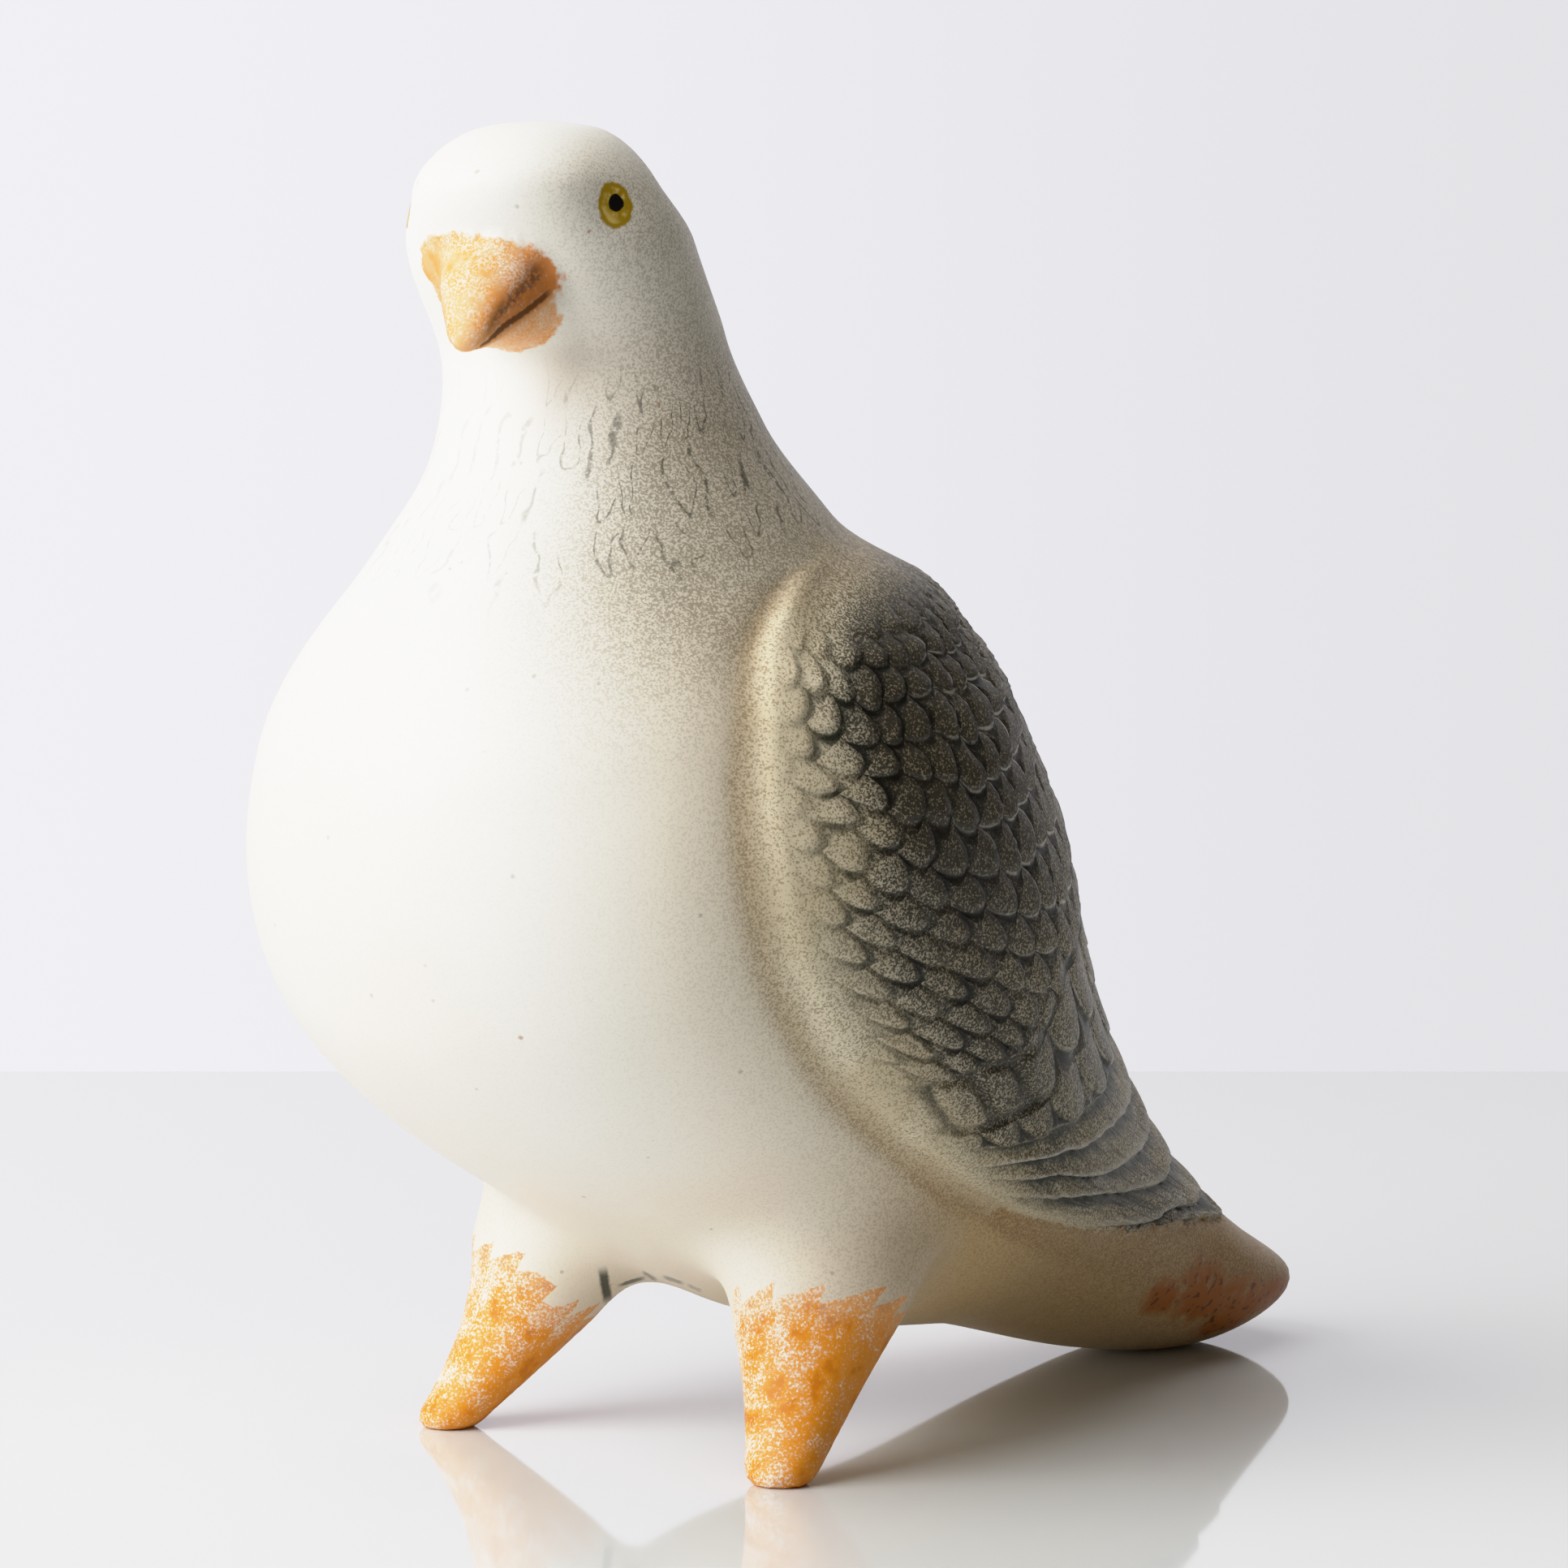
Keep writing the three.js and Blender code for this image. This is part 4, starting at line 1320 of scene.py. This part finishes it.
    def ticks(self, angle: Signal, run: Signal) -> Signal:
        """Draws the broken feather ticks of the collar: small open hooks in staggered rows.

        Args:
            angle: The angle round the body in degrees.
            run: The distance from the crown along the body in mm.

        Returns:
            The ticks' mask.
        """
        board, place = self.board, self.place
        drift = (place.noise(75.0) - 0.5) * 2.2
        row = run / self.tick_row + drift
        odd = row.whole().modulo(2.0)
        column = odd * 0.5 + angle / self.tick_column + drift
        cell = board.vector(column.whole(), row.whole())
        there, shift, form = board.out("TexWhiteNoise", {"Vector": cell}, "Color").channels()
        aside = column.fraction() - (shift * 0.4 + 0.3)
        fall = row.fraction()
        # A tick is either a hook, open to the crown, or a dash.
        hook = abs(fall + aside * aside * 5.5 - 0.88) * (abs(aside) * -6.0 + 2.6).max(1.0)
        dash = abs(aside + (fall - 0.5) * 0.2) * 1.2
        width = place.noise(300.0) * 0.28 - 0.035
        line = (board.mix(form.below(0.5), hook, dash) - width).rise(0.06, -0.07)
        long = fall.rise(0.02, 0.25) * fall.rise(1.0, 0.86)
        broken = place.noise(500.0, 2.0, 0.7).rise(0.34, 0.52)
        zone = run.rise(68.0, 90.0) * run.rise(146.0, 126.0) * (angle.rise(-20.0, 75.0) * 0.65 + 0.35)
        return line * long * there.below(0.85) * broken * zone

    def strokes(self) -> Signal:
        """Draws a few plain brush dabs on the belly between the legs. They aren't letters."""
        offset = self.place.off(placed(np.array(self.dab_middle)))
        right, up = (offset.along(np.array(way) / MILLIMETRE) for way in (self.dab_across, self.dab_up))
        wobble = (self.place.noise(900.0) - 0.5) * 0.5
        mask = None
        for dab_right, dab_up, length, width, lean, strength in self.dabs:
            x, y = right - dab_right, up - dab_up
            slant = math.radians(lean)
            sine, cosine = math.sin(slant), math.cos(slant)
            ahead, beside = x * cosine + y * sine, y * cosine - x * sine + wobble
            dab = ahead.near(0.0, length) * beside.near(0.0, width) * strength
            mask = dab if mask is None else mask.max(dab)
        facing = self.board.out("NewGeometry", output="True Normal").along(self.dab_facing)
        return mask * facing.rise(0.02, 0.12) * 0.9

    def beak(self, coat: Signal) -> Signal:
        """Paints the mottled orange beak with its dark mouth line, and painted shade on its left flank."""
        board, place, t = self.board, self.place, self.tones
        aside, height, ahead = board.stored("beak")
        over_mouth, to_ridge, on_beak = board.stored("mouth")
        # The painted patch, a rounded rectangle with a ragged border.
        x = abs((aside - self.patch_middle[0]) / (over_mouth.rise(-2.0, 2.0) * 1.7 + self.patch_half_width))
        y = abs((height - self.patch_middle[1]) / self.patch_half_height)
        away = (x ** self.patch_power + y ** self.patch_power) ** (1 / self.patch_power)
        away = away + (place.noise(420.0, 3.0) - 0.5) * 0.22
        patch = away.rise(1.02, 0.96) * ahead.rise(-17.0, -13.0)
        mottle, rare, rough = (
            place.noise(scale, 2.0, 0.6).rise(low, high)
            for scale, low, high in ((1900.0, 0.42, 0.6), (800.0, 0.6, 0.68), (1100.0, 0.25, 0.6)))
        # White mottles on the ridge and below the mouth. The left flank faces away from the light and gets
        # painted shade: deep orange, and an umber band under the ridge.
        pale = place.noise(170.0).rise(0.25, 0.6) * to_ridge.rise(0.8, 1.15)
        pale = pale.max(over_mouth.rise(-0.5, -2.5) * 0.5)
        flank = to_ridge.near(0.55, 0.62) * aside.rise(3.0, 7.0) * ahead.rise(0.0, 4.0) * on_beak
        shaded_flank_orange = aside.rise(1.0, 9.0) * to_ridge.rise(1.5, 0.9) * over_mouth.rise(-2.0, 0.0)
        shade = (flank * 0.25).max(to_ridge.near(0.88, 0.5) * flank * 0.8)
        colour = board.lay(
            t.apricot, (place.noise(240.0).rise(0.4, 0.6), t.peach_orange), (shaded_flank_orange * 0.85, t.deep_orange),
            (mottle * pale * 0.5, t.white), (rare * 0.28, t.white), (shade * rough, t.umber))
        mouth = over_mouth.near(0.0, 0.95) * ahead.rise(1.5, 4.0) * on_beak
        return board.lay(coat, (patch * 0.95, colour), (mouth * 0.85, t.umber))

    def legs(self, coat: Signal) -> Signal:
        """Paints the orange legs up to their jagged border, with more white mottle as painted light on the
        side of each leg that faces the light.
        """
        board, place, t = self.board, self.place, self.tones
        height, arc, on_leg = board.stored("legs")
        tooth = ((arc + place.noise(90.0, 1.0) * 9.0) / self.tooth_width).fraction()
        above = height - tooth * self.tooth_height + (place.noise(700.0) - 0.5) * 1.6
        blotch = place.noise(150.0, 3.0, 0.6)
        # Painted light: more white mottle on the side of each leg that faces the light.
        painted_light_side = (arc * 0.0545 + 2.2).sine() * 0.07
        amount = blotch * 0.5 + painted_light_side + place.noise(1700.0, 3.0, 0.7) * 0.9 + above.rise(-11.0, -1.0) * 0.07
        colour = board.lay(
            t.orange, (blotch.rise(0.42, 0.62), t.apricot), (blotch.rise(0.46, 0.34) * 0.7, t.deep_orange),
            (amount.rise(0.72, 0.92) * 0.8, t.white), (above.rise(-8.0, -1.0) * 0.2, t.cream))
        return board.mix(above.rise(0.2, -0.2) * on_leg, coat, colour)

    def eyes(self, coat: Signal) -> Signal:
        """Paints both round eyes: an olive ring with a dark outline and a black pupil."""
        board, place, t = self.board, self.place, self.tones
        wobble = (place.noise(600.0) - 0.5) * 0.35
        mottled = board.mix(place.noise(700.0, 1.0).rise(0.4, 0.75), t.olive, t.straw)
        for side, back in ((1, 0.0), (-1, self.far_eye_back)):
            local = np.array(self.eye_points) * (side, 1, 1) + (0, back, 0)
            middle, behind, above = placed(self.dove.body.turned(local, whole=True))
            offset = place.off(middle)
            x, y = (offset.along(way / np.linalg.norm(way) / half)
                    for way, half in zip((behind - middle, above - middle), self.eye_half))
            close = offset.length().rise(0.009, 0.008)
            away = (x * x + y * y).root() + wobble
            low_front = (x * 0.6 + y * 0.8).rise(-0.3, -0.7)
            ring = board.lay(mottled, (low_front, t.straw), (away.rise(0.72, 0.88), t.olive))
            u, v = (x - 0.06) / self.pupil_half[0], (y - 0.1) / self.pupil_half[1]
            pupil = ((u * u + v * v).root() + wobble).rise(1.08, 0.92)
            coat = board.lay(coat, (close * away.rise(1.1, 0.96), ring), (close * pupil, t.black))
        return coat

    def finish(self) -> bpy.types.Material:
        """Paints everything in turn.

        Returns:
            The finished material.
        """
        colour, height = self.plumage(self.coat())
        colour = self.board.mix(self.strokes(), self.legs(colour), self.tones.ink)
        height = self.place.noise(700.0) * 0.05 + height
        relief = self.board.out("Bump", {"Height": height, "Strength": 1.0, "Distance": MILLIMETRE})
        self.board.feed(self.shader, {
            "Base Color": self.eyes(self.beak(colour)),
            "Normal": relief,
            "Roughness": self.place.noise(120.0) * 0.2 + 0.32,
            "Specular IOR Level": 0.2,
        })
        return self.material


@dataclass
class Studio:
    """The plain pale floor, the soft light from the left and the camera."""

    target: Triple = (0.0261, -0.0444, 0.1371)
    camera_at: Triple = (0.8156, -0.9286, 0.2300)
    lens: float = 135.0
    # Soft shoulder of the exposure: brightness in the room and brightness shown.
    film: Pairs = (
        (0, 0), (0.25, 0.25), (0.5, 0.5), (0.7, 0.69), (0.9, 0.81), (1.1, 0.88), (1.4, 0.935), (1.8, 0.965),
        (2.5, 0.99))
    film_white: float = 2.5
    floor_behind: float = 0.615
    floor_size: float = 5.0

    def __post_init__(self) -> None:
        """Finds the level directions from the figure to the camera and to the picture's left."""
        self.back = Vector(self.camera_at) - Vector(self.target)
        self.back.z = 0
        self.back.normalize()
        self.left = Vector((self.back.y, -self.back.x, 0))

    def hang(self, data: bpy.types.ID, place: Vector, way: Vector) -> Piece:
        """Hangs a camera or a light.

        Args:
            data: The camera or the light.
            place: Where it goes.
            way: The direction it looks in.

        Returns:
            The object that holds it.
        """
        holder = bpy.data.objects.new(data.name, data)
        bpy.context.collection.objects.link(holder)
        holder.location = place
        holder.rotation_euler = way.to_track_quat("-Z", "Y").to_euler()
        return holder

    def camera(self) -> None:
        """Sets the camera up at the photograph's viewing angle."""
        camera = bpy.data.cameras.new("camera")
        camera.lens = self.lens
        camera.sensor_width = 36
        camera.clip_end = 50
        place = Vector(self.camera_at)
        bpy.context.scene.camera = self.hang(camera, place, Vector(self.target) - place)

    def floor(self) -> Piece:
        """Lays the glossy pale floor, whose far edge stands level in the picture.

        Returns:
            The floor.
        """
        middle = Vector((*self.target[:2], 0)) + self.back * (self.floor_size / 2 - self.floor_behind)
        bpy.ops.object.select_all(action="DESELECT")
        bpy.ops.mesh.primitive_plane_add(
            size=self.floor_size, location=middle, rotation=(0, 0, math.atan2(self.back.y, self.back.x)))
        floor = bpy.context.object
        bpy.ops.object.transform_apply(location=True, rotation=True, scale=True)
        floor.name = "floor"
        material, board, shader = new_material("pale_floor")
        cloud = board.out("TexCoord", output="Object").noise(3.0)
        colour = board.mix(cloud, (228, 231, 232), (232, 235, 236))
        board.feed(shader, {"Base Color": colour, "Roughness": 0.05, "IOR": 1.7})
        floor.data.materials.append(material)
        return floor

    def lights(self) -> None:
        """Hangs a large soft light at the left, one overhead and a low fill."""
        up = Vector((0, 0, 1))
        # Name, way towards it, distance and size in metres, and power in watts.
        for name, way, distance, size, power in (
                ("window", self.left * 0.88 + self.back * 0.42 + up * 0.54, 2.5, 2.4, 102.0),
                ("ceiling", up + self.left * 0.1, 2.0, 1.8, 20.0),
                ("fill", self.back * 0.9 - self.left * 0.5 + up * 0.5, 2.2, 1.5, 1.0)):
            light = bpy.data.lights.new(name, "AREA")
            light.size = size
            light.energy = power
            self.hang(light, Vector(self.target) + way.normalized() * distance, -way)

    def world(self) -> None:
        """Fills the room with pale light that the camera sees brighter than the figure does."""
        world = bpy.data.worlds.new("studio")
        bpy.context.scene.world = world
        world.use_nodes = True
        board = Board(world.node_tree)
        rays = board.node("LightPath", {}).outputs
        way = board.out("TexCoord", output="Generated")
        rear = way.along(-self.back).rise(0.3, 0.9)
        wall = board.mix(way.along(self.left).rise(-0.16, 0.16), (0.82, 0.81, 0.86, 1), (1.09, 1.06, 1.18, 1))
        room, shine = (board.mix(rear, (0.085, 0.07, 0.045, 1), far) for far in ((0.2, 0.19, 0.19, 1), wall))
        seen = board.lay(
            room, (Signal(board, rays["Is Glossy Ray"]), shine), (Signal(board, rays["Is Camera Ray"]), wall))
        board.feed(world.node_tree.nodes["Background"], {"Color": seen})

    def build(self) -> None:
        """Sets the whole studio up."""
        self.camera()
        self.floor()
        self.lights()
        self.world()
        settings = bpy.context.scene.view_settings
        settings.view_transform = "Standard"
        settings.look = "None"
        settings.use_curve_mapping = True
        mapping = settings.curve_mapping
        mapping.white_level = (self.film_white,) * 3
        film = mapping.curves[3].points
        film[0].location, film[-1].location = (0, 0), (1, self.film[-1][1])
        for light, shown in self.film[1:-1]:
            film.new(light / self.film_white, shown)
        mapping.update()


def main() -> None:
    """Builds the studio and the figure in order."""
    logging.basicConfig(level=logging.INFO, format="%(name)s: %(message)s")
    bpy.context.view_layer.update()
    Studio().build()
    log.info("studio set up")
    dove = Dove(Body(), Legs(), Beak(), Plumage())
    piece = dove.build()
    piece.data.materials.clear()
    piece.data.materials.append(DoveGlaze(dove).finish())
    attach(piece, "root")
    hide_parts("dove")
    log.info("glazed dove: %d points, %d faces", len(piece.data.vertices), len(piece.data.polygons))


if __name__ == "__main__":
    main()
